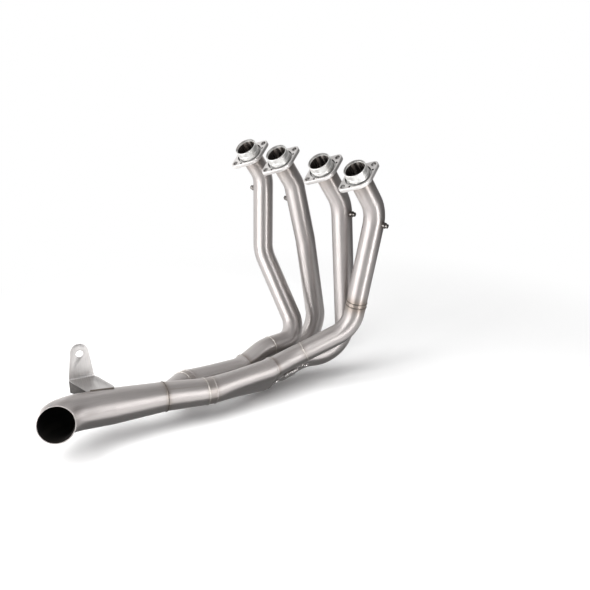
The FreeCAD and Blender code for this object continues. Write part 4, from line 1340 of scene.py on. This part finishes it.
def floor_material():
    """Pale floor that keeps the shadow near the header and fades to the white background."""
    material = bpy.data.materials.new("pale_floor")
    material.use_nodes = True
    tree = material.node_tree
    shader = tree.nodes["Principled BSDF"]
    shader.inputs["Base Color"].default_value = (0.97, 0.97, 0.97, 1)
    shader.inputs["Roughness"].default_value = 0.9
    shader.inputs["Specular IOR Level"].default_value = 0.0
    places = node(tree, "ShaderNodeTexCoord").outputs["Object"]
    reach = node(tree, "ShaderNodeVectorMath", {0: places}, operation="LENGTH").outputs["Value"]
    fade = node(
        tree,
        "ShaderNodeMapRange",
        {"Value": reach, "From Min": FADE_START, "From Max": FADE_END},
        interpolation_type="SMOOTHSTEP",
    ).outputs["Result"]
    white = node(tree, "ShaderNodeEmission", {"Color": (1, 1, 1, 1), "Strength": 1.0})
    ends = {"Fac": fade, 1: shader.outputs["BSDF"], 2: white.outputs["Emission"]}
    mix = node(tree, "ShaderNodeMixShader", ends)
    output = tree.nodes["Material Output"]
    tree.links.new(mix.outputs["Shader"], output.inputs["Surface"])
    return material


def white_world():
    """White behind the header for camera, glossy and transmitted rays, softer light for the rest."""
    world = bpy.data.worlds.new("studio")
    world.use_nodes = True
    tree = world.node_tree
    tree.nodes.clear()
    rays = node(tree, "ShaderNodeLightPath").outputs
    seen = rays["Is Camera Ray"]
    for kind in ("Is Glossy Ray", "Is Transmission Ray"):
        seen = node(tree, "ShaderNodeMath", {0: seen, 1: rays[kind]}, operation="MAXIMUM").outputs[0]
    soft = node(tree, "ShaderNodeBackground", {"Color": (1, 1, 1, 1), "Strength": SOFT_LIGHT})
    white = node(tree, "ShaderNodeBackground", {"Color": (1, 1, 1, 1), "Strength": 1.0})
    ends = {"Fac": seen, 1: soft.outputs["Background"], 2: white.outputs["Background"]}
    mix = node(tree, "ShaderNodeMixShader", ends)
    node(tree, "ShaderNodeOutputWorld", {"Surface": mix.outputs["Shader"]})
    bpy.context.scene.world = world


class HEADER_OT_stage(Operator):
    """Set up the floor, the reflected cards, the lamps and the camera"""

    bl_idname = "header.stage"
    bl_label = "Stage"

    def execute(self, context):
        bpy.ops.object.select_all(action="DESELECT")
        disc = {"vertices": 96, "radius": FLOOR_RADIUS, "fill_type": "NGON"}
        bpy.ops.mesh.primitive_circle_add(location=FLOOR_MIDDLE, **disc)
        floor = bpy.context.object
        floor.name = "floor"
        floor.data.materials.append(floor_material())
        for name, values in CARDS.items():
            card(name, *values)
        spot, turn, width, height, strength = UNDER_CARD
        board("under_card", spot, (0, 0, math.radians(turn)), width, height, strength)
        for name, values in LAMPS.items():
            lamp(name, *values)
        white_world()
        camera = bpy.data.cameras.new("camera")
        camera.lens = CAMERA_LENS
        camera.sensor_width = 36.0
        camera.clip_start = 0.01
        item = bpy.data.objects.new("camera", camera)
        back = -CAMERA_AHEAD.normalized()
        right = CAMERA_RIGHT.normalized()
        turn = Matrix((right, back.cross(right), back)).transposed().to_4x4()
        item.matrix_world = Matrix.Translation(CAMERA_SPOT) @ turn
        context.scene.collection.objects.link(item)
        context.scene.camera = item
        context.scene.view_settings.view_transform = "Standard"
        return {"FINISHED"}


OPERATORS = (
    HEADER_OT_primary_pipes,
    HEADER_OT_tail_pipe,
    HEADER_OT_port_collars,
    HEADER_OT_head_flanges,
    HEADER_OT_collectors,
    HEADER_OT_weld_beads,
    HEADER_OT_test_ports,
    HEADER_OT_slip_joint,
    HEADER_OT_tail_bracket,
    HEADER_OT_stage,
)


class HEADER_PT_panel(Panel):
    """Sizes, colours and pieces of the header"""

    bl_label = "Exhaust Header"
    bl_idname = "HEADER_PT_panel"
    bl_space_type = "VIEW_3D"
    bl_region_type = "UI"
    bl_category = "Header"

    def draw(self, context):
        layout = self.layout
        for group in (context.scene.header_sizes, context.scene.header_colours):
            column = layout.column()
            for name in group.__annotations__:
                column.prop(group, name)
        for operator in OPERATORS:
            layout.operator(operator.bl_idname)


CLASSES = (HeaderSizes, HeaderColours, *OPERATORS, HEADER_PT_panel)


def register():
    for item in CLASSES:
        bpy.utils.register_class(item)
    bpy.types.Scene.header_sizes = PointerProperty(type=HeaderSizes)
    bpy.types.Scene.header_colours = PointerProperty(type=HeaderColours)


def unregister():
    del bpy.types.Scene.header_sizes
    del bpy.types.Scene.header_colours
    for item in reversed(CLASSES):
        bpy.utils.unregister_class(item)


def main():
    """Builds every piece and the stage."""
    register()
    for operator in OPERATORS:
        group, name = operator.bl_idname.split(".")
        getattr(getattr(bpy.ops, group), name)()


if __name__ == "__main__":
    main()
